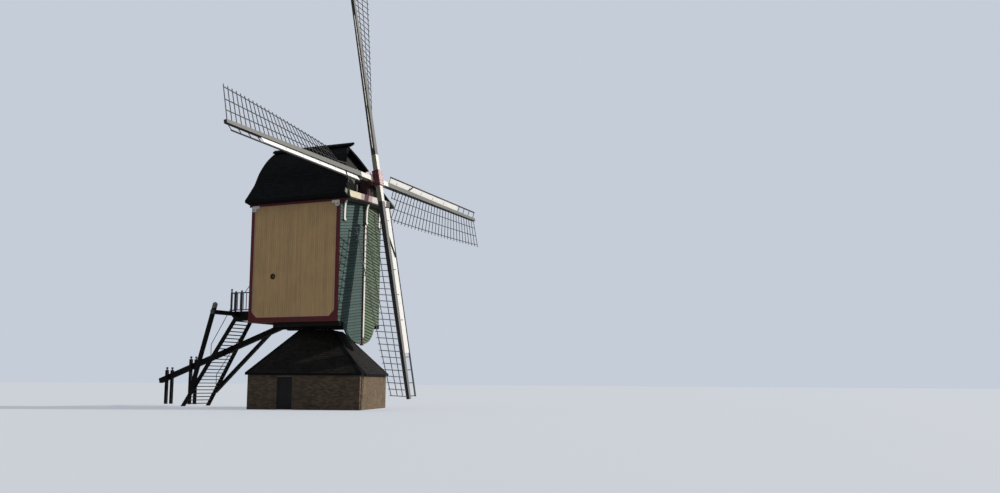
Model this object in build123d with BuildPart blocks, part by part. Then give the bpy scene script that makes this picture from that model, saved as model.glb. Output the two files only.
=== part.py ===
from build123d import *
import os
from math import atan2, ceil, cos, radians, sin, tan

os.makedirs("parts", exist_ok=True)

# A post mill. X points to the sails, Z is up, and the origin is on the post's axis at ground level.
# All lengths are in millimetres and all angles in degrees.

# Brick base, a square turned away from the mill body
base_turn = 18.5
base_side = 6400
base_wall = 220
base_wall_height = 1950
base_eaves_overhang = 120
base_eaves_edge = 60
base_roof_top_half = 1000
base_roof_top = 4500
base_roof_skin = 110

# Doorway and door of the base
door_width = 880
door_height = 1800
door_from_corner = 1680
door_leaf = 50
door_gap = 6
door_floor_gap = 12
hinge_pin_radius = 8
hinge_knuckle_radius = 14
hinge_knuckle_length = 90
hinge_strap = 5
hinge_strap_length = 520
hinge_strap_width = 45
hinge_height_low = 350
hinge_height_high = 1450
hinge_play = 0.3

# Post and trestle
post_radius = 340
post_top = 8000
tree_width = 380
tree_height = 350
tree_reach = 3500
pier_size = 520
pier_height = 350
brace_width = 260
brace_foot_radius = 3000
brace_top = 3600
post_hole_gap = 60
bearing_gap = 0.3
seat_gap = 0.3

# Mill body
body_front = 2579
body_rear = -3611
body_half = 2165
body_bottom = 4935
eaves_height = 11890
wall = 120
prow = 245
tongue_half = 1600
tongue_drop = 1230
tongue_board = 100
floor_top = 5700
floor_board = 60

# Beams under the body
sill_width = 250
sill_height = 255
sill_nose = 80
sill_rear = -1900
shear_rear = -2800
shear_inner = 450
shear_width = 300
shear_height = 335
cross_sill_depth = 150
cross_sill_height = 175
tail_stop_x = -2100
tail_stop_depth = 250
tail_stop_rise = 415

# Painted trim on the corners
trim_board = 30
trim_corner_width = 240
trim_bottom_rail = 290
trim_top_rail = 120
trim_haunch = 340

# Round vents in the side walls
vent_x = -1970
vent_z = 7600
vent_radius = 110

# Rear doorway at the platform
rear_door_width = 850
rear_door_height = 1850
rear_door_leaf = 50

# Curved roof
ridge_height = 15450
roof_rear = -3820
roof_skin = 90
shoulder_half = 1070
shoulder_height = 14460
knee_half = 1810
knee_height = 13200
flare_half = 2430
flare_height = 12400
lip_half = 2660
lip_height = 12120
lip_depth = 130
verge_foot = 3250
verge_lean = 26
verge_depth = 400
gable_board = 60
fit_gap = 1
ridge_cap_half = 190
ridge_cap_skin = 90
ridge_cap_rise = 130
ridge_cap_nose = 380
ridge_nose_undercut = 150

# Front beam, its consoles and the centre batten
beam_back = 2560
beam_front = 3200
beam_height = 510
beam_face = 350
beam_rebate = 260
beam_seat = 70
batten_width = 130
batten_depth = 80
batten_drop = 70
console_height = 1150
console_width = 200
console_reach = 160
console_side = 1850

# Windshaft and its bearings
hub_x = 3675
hub_z = 13353
shaft_tilt = 11.7
shaft_radius = 250
shaft_tail_radius = 200
shaft_shoulder = 1900
shaft_length = 7000
neck_block_front = 3060
neck_block_back = 2750
neck_block_half = 450
neck_block_height = 750
tail_beam_x = -2900
tail_beam_depth = 300
tail_beam_height = 420
crown_tree_width = 600
crown_tree_height = 600

# Poll end and sails
cross_turn = -2.3
stock_length = 26000
stock_hub = 300
stock_tip = 190
stock_step = 340
poll_wall = 70
poll_half_height = 460
lattice_inner = 3080
lattice_outer = 12870
bar_pitch = 370
bar_width = 40
bar_depth = 28
bar_overhang = 150
hem_reach = 1830
batten_inner_share = 0.34
batten_middle_share = 0.65
inner_bar_count = 2
inner_bar_overhang = 40
inner_easing = 0.008
weather_inner = 30
weather_outer = 0
lath_segments = 6
board_inner = 1800
board_outer = 10400
board_count = 3
board_joint = 12
board_width = 365
board_thick = 25
board_angle = 27
hem_lath = 85
hem_lath_thick = 45
hem_gap = 6
stay_pitch = 740

# Platform, stair and tail
platform_rear = -5720
platform_half = 1300
platform_board = 50
platform_beam = 120
platform_beam_depth = 520
platform_beam_cut = 430
rail_height = 1150
rail_post = 90
rail_bar = 60
rail_mid_x = -4920
baluster = 35
baluster_pitch = 200
stair_opening_half = 820
cross_beam_x = -5100
cross_beam_half = 3650
cross_beam_depth = 220
cross_beam_height = 240
stair_foot_x = -9220
stair_foot_half = 1130
stair_top_x = -5515
stair_top_half = 730
stringer_board = 60
stringer_depth = 260
stair_clearance = 25
tread_board = 50
tread_depth = 200
tread_rise = 208
handrail_radius = 20
handrail_height = 950
handrail_start = 250
handrail_near_foot = 0.5
handrail_far_foot = 0.18
tail_width = 300
tail_end_x = -12100
tail_end_z = 1555
tail_slope = 0.3504
tail_tread_gap = 45
strut_width = 200
strut_beam_x = -5250
strut_beam_half = 3371
strut_head = 650
strut_foot_x = -8640
strut_foot_half = 1130
strut_foot_z = 900
tail_post = 160
tail_post_foot = 120
tail_post_rise = 430
tail_post_inner_x = -9500
tail_post_outer_x = -11400
finial_radius = 75
finial_neck = 40

# Places worked out from the sizes above
base_half = base_side / 2
base_across = (cos(radians(base_turn)), sin(radians(base_turn)), 0)
base_plane = Plane(origin=(0, 0, 0), x_dir=base_across, z_dir=(0, 0, 1))
door_left = -base_half + door_from_corner
door_right = door_left + door_width
wall_inner = body_half - wall
rear_inner = body_rear + wall
front_inner = body_front - wall
beam_bottom = eaves_height - beam_seat
beam_top = beam_bottom + beam_height
shaft_dir = Vector(cos(radians(shaft_tilt)), 0, sin(radians(shaft_tilt)))
hub = Vector(hub_x, 0, hub_z)
platform_under = floor_top - platform_board


def slab(x, y, z, plane=Plane.XY, mode=Mode.ADD):
    """A box between the pairs of x, y and z, in the frame of a plane."""
    middle = Location(((x[0] + x[1]) / 2, (y[0] + y[1]) / 2, (z[0] + z[1]) / 2))
    with Locations(plane.location * middle):
        Box(x[1] - x[0], y[1] - y[0], z[1] - z[0], mode=mode)


def stick(start, end, width, depth, side=(0, 1, 0), mode=Mode.ADD):
    """A straight timber from start to end. Its width lies along side as far as the run allows."""
    start = Vector(*start)
    run = Vector(*end) - start
    along = run.normalized()
    across = (Vector(*side) - along * along.dot(Vector(*side))).normalized()
    with Locations(Plane(origin=start, x_dir=across, z_dir=along).location):
        Box(width, depth, run.length, align=(Align.CENTER, Align.CENTER, Align.MIN), mode=mode)


def rod(start, end, radius, mode=Mode.ADD):
    """A straight round bar from start to end."""
    run = Vector(*end) - Vector(*start)
    with Locations(Plane(origin=start, z_dir=run.normalized()).location):
        Cylinder(radius, run.length, align=(Align.CENTER, Align.CENTER, Align.MIN), mode=mode)


# Brick walls of the base
wall_runs = {
    "base_wall_front_left": ((-base_half, door_left), (-base_half, -base_half + base_wall)),
    "base_wall_front_right": ((door_right, base_half), (-base_half, -base_half + base_wall)),
    "base_wall_right": ((base_half - base_wall, base_half), (-base_half + base_wall, base_half - base_wall)),
    "base_wall_left": ((-base_half, -base_half + base_wall), (-base_half + base_wall, base_half - base_wall)),
    "base_wall_back": ((-base_half, base_half), (base_half - base_wall, base_half)),
}
for wall_name, (run_x, run_y) in wall_runs.items():
    with BuildPart() as base_run:
        slab(run_x, run_y, (0, base_wall_height), base_plane)
    base_run.part.label = wall_name
    export_step(base_run.part, f"parts/{wall_name}.step")

# Timber lintel over the base doorway
with BuildPart() as base_lintel:
    slab(
        (door_left, door_right),
        (-base_half, -base_half + base_wall),
        (door_height, base_wall_height),
        base_plane,
    )
base_lintel.part.label = "base_lintel"
export_step(base_lintel.part, "parts/base_lintel.step")

# Door of the base with its strap hinges, hung on the left
hinge_x = door_left + door_gap / 2
hinge_y = -base_half - hinge_knuckle_radius
hinge_heights = (hinge_height_low, hinge_height_high)
with BuildPart() as base_door:
    slab(
        (door_left + door_gap, door_right - door_gap),
        (-base_half, -base_half + door_leaf),
        (door_floor_gap, door_height - door_gap),
        base_plane,
    )
    for hinge_z in hinge_heights:
        slab(
            (hinge_x, hinge_x + hinge_strap_length),
            (-base_half - hinge_strap, -base_half),
            (hinge_z, hinge_z + hinge_strap_width),
            base_plane,
        )
        with BuildSketch(base_plane.offset(hinge_z)):
            with Locations((hinge_x, hinge_y)):
                Circle(hinge_knuckle_radius)
        extrude(amount=hinge_strap_width)
    with Locations(base_plane.location * Location((hinge_x, hinge_y, 0))):
        Cylinder(
            hinge_pin_radius + hinge_play,
            door_height,
            align=(Align.CENTER, Align.CENTER, Align.MIN),
            mode=Mode.SUBTRACT,
        )
base_door.part.label = "base_door"
export_step(base_door.part, "parts/base_door.step")

# Hinge pins of the base door, on plates let against the brick
with BuildPart() as door_pintles:
    for hinge_z in hinge_heights:
        knuckle_top = hinge_z - hinge_play
        slab(
            (door_left - hinge_strap_width, hinge_x - hinge_knuckle_radius / 2),
            (-base_half - hinge_strap, -base_half),
            (knuckle_top - hinge_strap_width, knuckle_top),
            base_plane,
        )
        with BuildSketch(base_plane.offset(knuckle_top - hinge_strap_width)):
            with Locations((hinge_x, hinge_y)):
                Circle(hinge_knuckle_radius)
        extrude(amount=hinge_strap_width)
        with BuildSketch(base_plane.offset(knuckle_top)):
            with Locations((hinge_x, hinge_y)):
                Circle(hinge_pin_radius)
        extrude(amount=hinge_knuckle_length)
    slab(
        (door_left, door_right),
        (-base_half - hinge_strap, -base_half),
        (0, base_wall_height),
        base_plane,
        mode=Mode.SUBTRACT,
    )
door_pintles.part.label = "door_pintles"
export_step(door_pintles.part, "parts/door_pintles.step")

# Roof of the base, a cut-off pyramid open below, with a hole for the post
base_eaves_half = base_half + base_eaves_overhang
base_roof_inner_half = base_half - base_wall / 2
with BuildPart() as base_roof:
    slab(
        (-base_eaves_half, base_eaves_half),
        (-base_eaves_half, base_eaves_half),
        (base_wall_height, base_wall_height + base_eaves_edge),
        base_plane,
    )
    with BuildSketch(base_plane.offset(base_wall_height + base_eaves_edge)):
        Rectangle(2 * base_eaves_half, 2 * base_eaves_half)
    with BuildSketch(base_plane.offset(base_roof_top)):
        Rectangle(2 * base_roof_top_half, 2 * base_roof_top_half)
    loft()
    with BuildSketch(base_plane.offset(base_wall_height)):
        Rectangle(2 * base_roof_inner_half, 2 * base_roof_inner_half)
    with BuildSketch(base_plane.offset(base_roof_top - base_roof_skin)):
        Rectangle(2 * (base_roof_top_half - base_roof_skin), 2 * (base_roof_top_half - base_roof_skin))
    loft(mode=Mode.SUBTRACT)
    with BuildSketch(base_plane.offset(base_wall_height)):
        Circle(post_radius + seat_gap)
    extrude(amount=base_roof_top, mode=Mode.SUBTRACT)
base_roof.part.label = "base_roof"
export_step(base_roof.part, "parts/base_roof.step")

# Brick piers under the ends of the cross trees. The upper tree's piers are one beam height taller.
diagonal_plane = Plane(
    origin=(0, 0, 0),
    x_dir=(cos(radians(base_turn + 45)), sin(radians(base_turn + 45)), 0),
    z_dir=(0, 0, 1),
)
pier_centre = tree_reach - pier_size / 2
with BuildPart() as piers:
    for side in (-1, 1):
        slab(
            (side * pier_centre - pier_size / 2, side * pier_centre + pier_size / 2),
            (-pier_size / 2, pier_size / 2),
            (0, pier_height),
            diagonal_plane,
        )
        slab(
            (-pier_size / 2, pier_size / 2),
            (side * pier_centre - pier_size / 2, side * pier_centre + pier_size / 2),
            (0, pier_height + tree_height),
            diagonal_plane,
        )
piers.part.label = "piers"
export_step(piers.part, "parts/piers.step")

# Main post, standing on the upper cross tree
post_foot = pier_height + 2 * tree_height
with BuildPart() as post:
    with BuildSketch(Plane.XY.offset(post_foot)):
        Circle(post_radius)
    extrude(amount=post_top - post_foot)
post.part.label = "post"
export_step(post.part, "parts/post.step")

# Cross trees and the quarter bars that brace the post
with BuildPart() as trestle:
    slab(
        (-tree_reach, tree_reach),
        (-tree_width / 2, tree_width / 2),
        (pier_height, pier_height + tree_height),
        diagonal_plane,
    )
    slab(
        (-tree_width / 2, tree_width / 2),
        (-tree_reach, tree_reach),
        (pier_height + tree_height, post_foot),
        diagonal_plane,
    )
    for quarter in range(4):
        turn = radians(base_turn + 45 + 90 * quarter)
        foot_z = pier_height + tree_height * (0.5 if quarter % 2 == 0 else 1.5)
        stick(
            (brace_foot_radius * cos(turn), brace_foot_radius * sin(turn), foot_z),
            (0, 0, brace_top + post_radius),
            brace_width,
            brace_width,
            side=(-sin(turn), cos(turn), 0),
        )
    with BuildSketch(Plane.XY.offset(post_foot)):
        Circle(post_radius)
    extrude(amount=post_top, mode=Mode.SUBTRACT)
trestle.part.label = "trestle"
export_step(trestle.part, "parts/trestle.step")

# Beams under the body: side sills, the two shears beside the post, cross sills and the tail's stop
sill_outer = body_half - wall / 2
sill_z = (body_bottom - sill_height, body_bottom)
shear_z = (body_bottom - shear_height, body_bottom)
cross_z = (body_bottom - cross_sill_height, body_bottom)
with BuildPart() as floor_frame:
    for side in (-1, 1):
        sill_y = sorted((side * sill_outer, side * (sill_outer - sill_width)))
        shear_y = sorted((side * shear_inner, side * (shear_inner + shear_width)))
        slab((sill_rear, body_front + sill_nose), sill_y, sill_z)
        slab((shear_rear, front_inner), shear_y, shear_z)
    slab((sill_rear, sill_rear + cross_sill_depth), (-sill_outer, sill_outer), cross_z)
    slab((front_inner - cross_sill_depth, front_inner), (-sill_outer, sill_outer), cross_z)
    slab(
        (tail_stop_x, tail_stop_x + tail_stop_depth),
        (-shear_inner - shear_width / 2, shear_inner + shear_width / 2),
        (body_bottom - shear_height / 2, body_bottom + tail_stop_rise),
    )
floor_frame.part.label = "floor_frame"
export_step(floor_frame.part, "parts/floor_frame.step")

# Boarded floor at the level of the platform, open round the post
with BuildPart() as floor:
    slab((rear_inner, front_inner), (-wall_inner, wall_inner), (floor_top - floor_board, floor_top))
    with BuildSketch(Plane.XY.offset(floor_top - floor_board)):
        Circle(post_radius + post_hole_gap)
    extrude(amount=floor_board, mode=Mode.SUBTRACT)
floor.part.label = "floor"
export_step(floor.part, "parts/floor.step")

# Crown tree that hangs the body on the post's head
with BuildPart() as crown_tree:
    slab(
        (-crown_tree_width / 2, crown_tree_width / 2),
        (-wall_inner, wall_inner),
        (post_top + bearing_gap, post_top + bearing_gap + crown_tree_height),
    )
crown_tree.part.label = "crown_tree"
export_step(crown_tree.part, "parts/crown_tree.step")


def roof_points(depth):
    """Ridge, shoulder, knee, flare and lip of the roof line, moved in by depth, as (y, z)."""
    top_slope = atan2(ridge_height - shoulder_height, shoulder_half)
    mid_slope = atan2(ridge_height - knee_height, knee_half)
    low_slope = atan2(knee_height - flare_height, flare_half - knee_half)
    return (
        (0, ridge_height - depth / cos(top_slope)),
        (shoulder_half - depth * sin(mid_slope), shoulder_height - depth * cos(mid_slope)),
        (knee_half - depth * sin(low_slope), knee_height - depth * cos(low_slope)),
        (flare_half - depth * sin(low_slope), flare_height - depth * cos(low_slope)),
        (lip_half, lip_height),
    )


def inner_height(half, depth):
    """Height of the roof line, moved in by depth, at a distance from the middle below the knee."""
    knee, flare = roof_points(depth)[2:4]
    return knee[1] + (half - knee[0]) * (flare[1] - knee[1]) / (flare[0] - knee[0])


def gable_outline(foot, half, depth):
    """Closed outline of a gable under the roof, from a flat foot, in (y, z)."""
    ridge, shoulder, knee = roof_points(depth)[:3]
    shoulder_line = inner_height(half, depth)
    Polyline((0, foot), (half, foot), (half, shoulder_line), knee)
    ThreePointArc(knee, shoulder, ridge)
    mirror(about=Plane.YZ)


# Side walls, with a round vent through each
side_wall_top = inner_height(body_half, roof_skin) - fit_gap
for side, wall_name in ((-1, "side_wall_near"), (1, "side_wall_far")):
    with BuildPart() as side_wall:
        slab(
            (rear_inner, front_inner),
            sorted((side * wall_inner, side * body_half)),
            (body_bottom, side_wall_top),
        )
        with BuildSketch(Plane.XZ):
            with Locations((vent_x, vent_z)):
                Circle(vent_radius)
        extrude(amount=body_half * 2, both=True, mode=Mode.SUBTRACT)
    side_wall.part.label = wall_name
    export_step(side_wall.part, f"parts/{wall_name}.step")

# Rear wall and gable, with the doorway to the platform
rear_door_half = rear_door_width / 2
with BuildPart() as rear_wall:
    with BuildSketch(Plane.YZ.offset(body_rear)):
        with BuildLine():
            gable_outline(body_bottom, body_half, roof_skin + fit_gap)
        make_face()
    extrude(amount=wall)
    slab(
        (body_rear, rear_inner),
        (-rear_door_half, rear_door_half),
        (floor_top, floor_top + rear_door_height),
        mode=Mode.SUBTRACT,
    )
rear_wall.part.label = "rear_wall"
export_step(rear_wall.part, "parts/rear_wall.step")

# Closed door in the rear wall
with BuildPart() as rear_door:
    slab(
        (body_rear + rear_door_leaf / 2, body_rear + rear_door_leaf * 3 / 2),
        (-rear_door_half, rear_door_half),
        (floor_top, floor_top + rear_door_height),
    )
rear_door.part.label = "rear_door"
export_step(rear_door.part, "parts/rear_door.step")

# Front wall: a shallow wedge in plan that runs down past the floor as a rounded tongue
tongue_edge = prow * (1 - tongue_half / body_half)
with BuildPart() as front_wall:
    with BuildSketch(Plane.XY.offset(body_bottom)):
        with BuildLine():
            Polyline(
                (front_inner, -body_half),
                (body_front, -body_half),
                (body_front + prow, 0),
                (body_front, body_half),
                (front_inner, body_half),
                close=True,
            )
        make_face()
    extrude(amount=beam_bottom - body_bottom)
with BuildPart() as tongue:
    with BuildSketch(Plane.XY.offset(body_bottom - tongue_drop)):
        with BuildLine():
            Polyline(
                (body_front + tongue_edge - tongue_board, -tongue_half),
                (body_front + tongue_edge, -tongue_half),
                (body_front + prow, 0),
                (body_front + tongue_edge, tongue_half),
                (body_front + tongue_edge - tongue_board, tongue_half),
                (body_front + prow - tongue_board, 0),
                close=True,
            )
        make_face()
    extrude(amount=tongue_drop)
    with BuildSketch(Plane.YZ):
        with Locations((0, body_bottom)):
            Ellipse(tongue_half, tongue_drop)
    extrude(amount=body_front + 2 * prow, mode=Mode.INTERSECT)
with front_wall:
    add(tongue.part)
front_wall.part.label = "front_wall"
export_step(front_wall.part, "parts/front_wall.step")

# Upright batten down the middle of the front
batten_foot = body_bottom - tongue_drop - batten_drop
with BuildPart() as centre_batten:
    slab(
        (body_front + prow - batten_width, body_front + prow + batten_depth),
        (-batten_width / 2, batten_width / 2),
        (batten_foot, beam_bottom),
    )
    add(front_wall.part, mode=Mode.SUBTRACT)
    slab(
        (body_front + prow - batten_width, body_front + prow - tongue_board),
        (-batten_width / 2, batten_width / 2),
        (batten_foot, body_bottom),
        mode=Mode.SUBTRACT,
    )
centre_batten.part.label = "centre_batten"
export_step(centre_batten.part, "parts/centre_batten.step")


def trim_outline(low, high):
    """Inner edge of a trim frame between low and high, with haunches in its lower corners."""
    foot = body_bottom + trim_bottom_rail
    head = eaves_height - trim_top_rail
    left = low + trim_corner_width
    right = high - trim_corner_width
    Polyline(
        (left + trim_haunch, foot),
        (right - trim_haunch, foot),
        (right, foot + trim_haunch),
        (right, head),
        (left, head),
        (left, foot + trim_haunch),
        close=True,
    )


# Trim boards on the corners, foot and head of the three boarded walls, joined round the corners
with BuildPart() as corner_trim:
    slab(
        (body_rear - trim_board, body_front),
        (-body_half - trim_board, body_half + trim_board),
        (body_bottom, eaves_height),
    )
    slab((body_rear, body_front), (-body_half, body_half), (body_bottom, eaves_height), mode=Mode.SUBTRACT)
    with BuildSketch(Plane.XZ):
        with BuildLine():
            trim_outline(body_rear - trim_board, body_front)
        make_face()
    extrude(amount=2 * body_half, both=True, mode=Mode.SUBTRACT)
    with BuildSketch(Plane.YZ.offset(body_rear - trim_board)):
        with BuildLine():
            trim_outline(-body_half - trim_board, body_half + trim_board)
        make_face()
    extrude(amount=trim_board, mode=Mode.SUBTRACT)
corner_trim.part.label = "corner_trim"
export_step(corner_trim.part, "parts/corner_trim.step")

# The leaning plane at the front edge of the roof. Its normal points forward and up.
lean = radians(verge_lean)
lean_normal = (cos(lean), 0, sin(lean))


def lean_plane(setback):
    """The front plane of the roof, moved back by setback along X."""
    return Plane(origin=(verge_foot - setback, 0, lip_height - lip_depth), x_dir=(0, 1, 0), z_dir=lean_normal)


# Roof slopes with closed eaves
soffit_edge = (lip_half, lip_height - lip_depth)
for side, roof_name in ((-1, "roof_near"), (1, "roof_far")):
    with BuildPart() as roof_slope:
        with BuildSketch(Plane.YZ.offset(roof_rear)):
            with BuildLine():
                ridge, shoulder, knee, flare, lip = [(side * y, z) for y, z in roof_points(0)]
                ridge_in, shoulder_in, knee_in = [(side * y, z) for y, z in roof_points(roof_skin)[:3]]
                ThreePointArc(ridge, shoulder, knee)
                Polyline(
                    knee,
                    flare,
                    lip,
                    (side * soffit_edge[0], soffit_edge[1]),
                    (side * body_half, eaves_height),
                    (side * body_half, inner_height(body_half, roof_skin)),
                    knee_in,
                )
                ThreePointArc(knee_in, shoulder_in, ridge_in)
                Line(ridge_in, ridge)
            make_face()
        extrude(amount=verge_foot - roof_rear)
        split(bisect_by=lean_plane(0), keep=Keep.BOTTOM)
    roof_slope.part.label = roof_name
    export_step(roof_slope.part, f"parts/{roof_name}.step")

# Ridge cap over the joint of the slopes, with a nose at the front that is cut away underneath
ridge_front = verge_foot - (ridge_height - lip_height + lip_depth) * tan(lean)
with BuildPart() as ridge_cap:
    with BuildSketch(Plane.YZ.offset(roof_rear)):
        with BuildLine():
            Polyline(
                (0, ridge_height),
                (ridge_cap_half, ridge_height),
                (ridge_cap_half, ridge_height + ridge_cap_skin),
                (0, ridge_height + ridge_cap_skin + ridge_cap_rise),
                (-ridge_cap_half, ridge_height + ridge_cap_skin),
                (-ridge_cap_half, ridge_height),
                close=True,
            )
        make_face()
    extrude(amount=ridge_front + ridge_cap_nose - roof_rear)
    undercut_normal = Vector(ridge_nose_undercut, 0, -ridge_cap_nose).normalized()
    undercut = Plane(origin=(ridge_front, 0, ridge_height), x_dir=(0, 1, 0), z_dir=undercut_normal)
    split(bisect_by=undercut, keep=Keep.BOTTOM)
ridge_cap.part.label = "ridge_cap"
export_step(ridge_cap.part, "parts/ridge_cap.step")

# Front beam under the gable, cut back along its lower edge
with BuildPart() as front_beam:
    slab((beam_back, beam_front), (-body_half, body_half), (beam_bottom, beam_top))
    slab(
        (beam_front - beam_rebate, beam_front),
        (-body_half, body_half),
        (beam_bottom, beam_top - beam_face),
        mode=Mode.SUBTRACT,
    )
front_beam.part.label = "front_beam"
export_step(front_beam.part, "parts/front_beam.step")

# Neck block on the front beam, hollowed to carry the windshaft
shaft_back = hub - shaft_dir * shaft_length
with BuildPart() as neck_block:
    slab(
        (neck_block_back, neck_block_front),
        (-neck_block_half, neck_block_half),
        (beam_top, beam_top + neck_block_height),
    )
    rod(shaft_back, hub, shaft_radius + bearing_gap, mode=Mode.SUBTRACT)
    with BuildSketch(Plane.XY.offset(beam_top + neck_block_height)):
        Rectangle(4 * neck_block_front, 2 * neck_block_half)
    extrude(amount=neck_block_height, mode=Mode.SUBTRACT)
neck_block.part.label = "neck_block"
export_step(neck_block.part, "parts/neck_block.step")

# Leaning front gable behind the neck block, with a hole for the windshaft
with BuildPart() as front_gable:
    with BuildSketch(Plane.YZ):
        with BuildLine():
            gable_outline(beam_top, body_half - fit_gap, roof_skin + fit_gap)
        make_face()
    extrude(amount=verge_foot)
    split(bisect_by=lean_plane(verge_depth), keep=Keep.BOTTOM)
    split(bisect_by=lean_plane(verge_depth + gable_board), keep=Keep.TOP)
    rod(shaft_back, hub, shaft_radius + post_hole_gap, mode=Mode.SUBTRACT)
front_gable.part.label = "front_gable"
export_step(front_gable.part, "parts/front_gable.step")

# Carved consoles under the front beam
with BuildPart() as consoles:
    for middle in (-console_side, 0, console_side):
        face_x = body_front + prow * (1 - abs(middle) / body_half)
        if middle == 0:
            face_x = body_front + prow + batten_depth
        with BuildSketch(Plane.XZ.offset(-middle - console_width / 2)):
            with BuildLine():
                Polyline(
                    (body_front - wall / 2, beam_bottom),
                    (body_front - wall / 2, beam_bottom - console_height),
                    (face_x + console_reach / 5, beam_bottom - console_height),
                )
                ThreePointArc(
                    (face_x + console_reach / 5, beam_bottom - console_height),
                    (face_x + console_reach / 4, beam_bottom - console_height / 3),
                    (face_x + console_reach, beam_bottom),
                )
                Line((face_x + console_reach, beam_bottom), (body_front - wall / 2, beam_bottom))
            make_face()
        extrude(amount=console_width)
    add(front_wall.part, mode=Mode.SUBTRACT)
    add(centre_batten.part, mode=Mode.SUBTRACT)
consoles.part.label = "consoles"
export_step(consoles.part, "parts/consoles.step")

# Beam under the tail end of the windshaft
tail_beam_axis = hub_z - (hub_x - tail_beam_x) * tan(radians(shaft_tilt))
tail_beam_top = tail_beam_axis - shaft_tail_radius / 2
with BuildPart() as tail_beam:
    slab(
        (tail_beam_x - tail_beam_depth / 2, tail_beam_x + tail_beam_depth / 2),
        (-wall_inner, wall_inner),
        (tail_beam_top - tail_beam_height, tail_beam_top),
    )
    rod(shaft_back, hub, shaft_tail_radius + bearing_gap, mode=Mode.SUBTRACT)
tail_beam.part.label = "tail_beam"
export_step(tail_beam.part, "parts/tail_beam.step")

# Windshaft, from the poll end back to the tail beam
poll_back = stock_step + stock_hub / 2 + poll_wall
poll_front = stock_hub / 2 + poll_wall
with BuildPart() as windshaft:
    rod(hub - shaft_dir * shaft_shoulder, hub - shaft_dir * poll_back, shaft_radius)
    rod(shaft_back, hub - shaft_dir * shaft_shoulder, shaft_tail_radius)
windshaft.part.label = "windshaft"
export_step(windshaft.part, "parts/windshaft.step")

# Frame of the sail cross: x and y across the shaft, turned with the sails, z forward along it
shaft_up = Vector(-sin(radians(shaft_tilt)), 0, cos(radians(shaft_tilt)))
cross_across = Vector(0, 1, 0) * cos(radians(cross_turn)) + shaft_up * sin(radians(cross_turn))
cross_plane = Plane(origin=hub, x_dir=cross_across, z_dir=shaft_dir)


def cross_point(across, up, forward):
    """A point given in the sail cross's frame, in the mill's frame."""
    return cross_plane.from_local_coords(Vector(across, up, forward))


# Iron poll end with a mortise for each stock
stock_half = stock_hub / 2
poll_half = stock_half + poll_wall
with BuildPart() as poll_end:
    slab(
        (-poll_half, poll_half),
        (-poll_half_height, poll_half_height),
        (-poll_half, poll_front),
        cross_plane,
    )
    slab(
        (-poll_half_height, poll_half_height),
        (-poll_half, poll_half),
        (-poll_back, -stock_step + stock_half),
        cross_plane,
    )
    slab(
        (-poll_half, poll_half),
        (-poll_half, poll_half),
        (-poll_back, -poll_half),
        cross_plane,
    )
    slab(
        (-stock_half, stock_half),
        (-poll_half_height, poll_half_height),
        (-stock_half, stock_half),
        cross_plane,
        mode=Mode.SUBTRACT,
    )
    slab(
        (-poll_half_height, poll_half_height),
        (-stock_half, stock_half),
        (-stock_step - stock_half, -stock_step + stock_half),
        cross_plane,
        mode=Mode.SUBTRACT,
    )
poll_end.part.label = "poll_end"
export_step(poll_end.part, "parts/poll_end.step")


def square(plane, side):
    """A square of a given side on a plane."""
    with BuildSketch(plane, mode=Mode.PRIVATE) as outline:
        Rectangle(side, side)
    return outline.sketch


def stock(plane):
    """One long tapered timber through the poll end, along the plane's Y, kept square in the mortise."""
    slab((-stock_half, stock_half), (-poll_half_height, poll_half_height), (-stock_half, stock_half), plane)
    for way in (-1, 1):
        root = plane.from_local_coords(Vector(0, way * poll_half_height, 0))
        arm = Plane(origin=root, x_dir=plane.x_dir, z_dir=plane.y_dir * way)
        tip = arm.offset(stock_length / 2 - poll_half_height)
        loft([square(arm, stock_hub), square(tip, stock_tip)])


outer_plane = cross_plane
inner_plane = Plane(
    origin=cross_point(0, 0, -stock_step),
    x_dir=cross_plane.y_dir,
    z_dir=cross_plane.z_dir,
)
stocks = {}
for stock_name, stock_plane in (("stock_outer", outer_plane), ("stock_inner", inner_plane)):
    with BuildPart() as one_stock:
        stock(stock_plane)
    one_stock.part.label = stock_name
    export_step(one_stock.part, f"parts/{stock_name}.step")
    stocks[stock_name] = one_stock.part


def weather(radius):
    """Angle in radians between the lattice and the plane of the sails at a distance from the hub."""
    if radius < lattice_inner:
        return radians(weather_inner - inner_easing * (lattice_inner - radius))
    share = (radius - lattice_inner) / (lattice_outer - lattice_inner)
    return radians(weather_inner + (weather_outer - weather_inner) * share)


def trail_point(radius, reach):
    """A point on the lattice of a sail in the sail's frame: x to the leading side, y forward, z outward."""
    angle = weather(radius)
    return Vector(-reach * cos(angle), -reach * sin(angle), radius)


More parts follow.
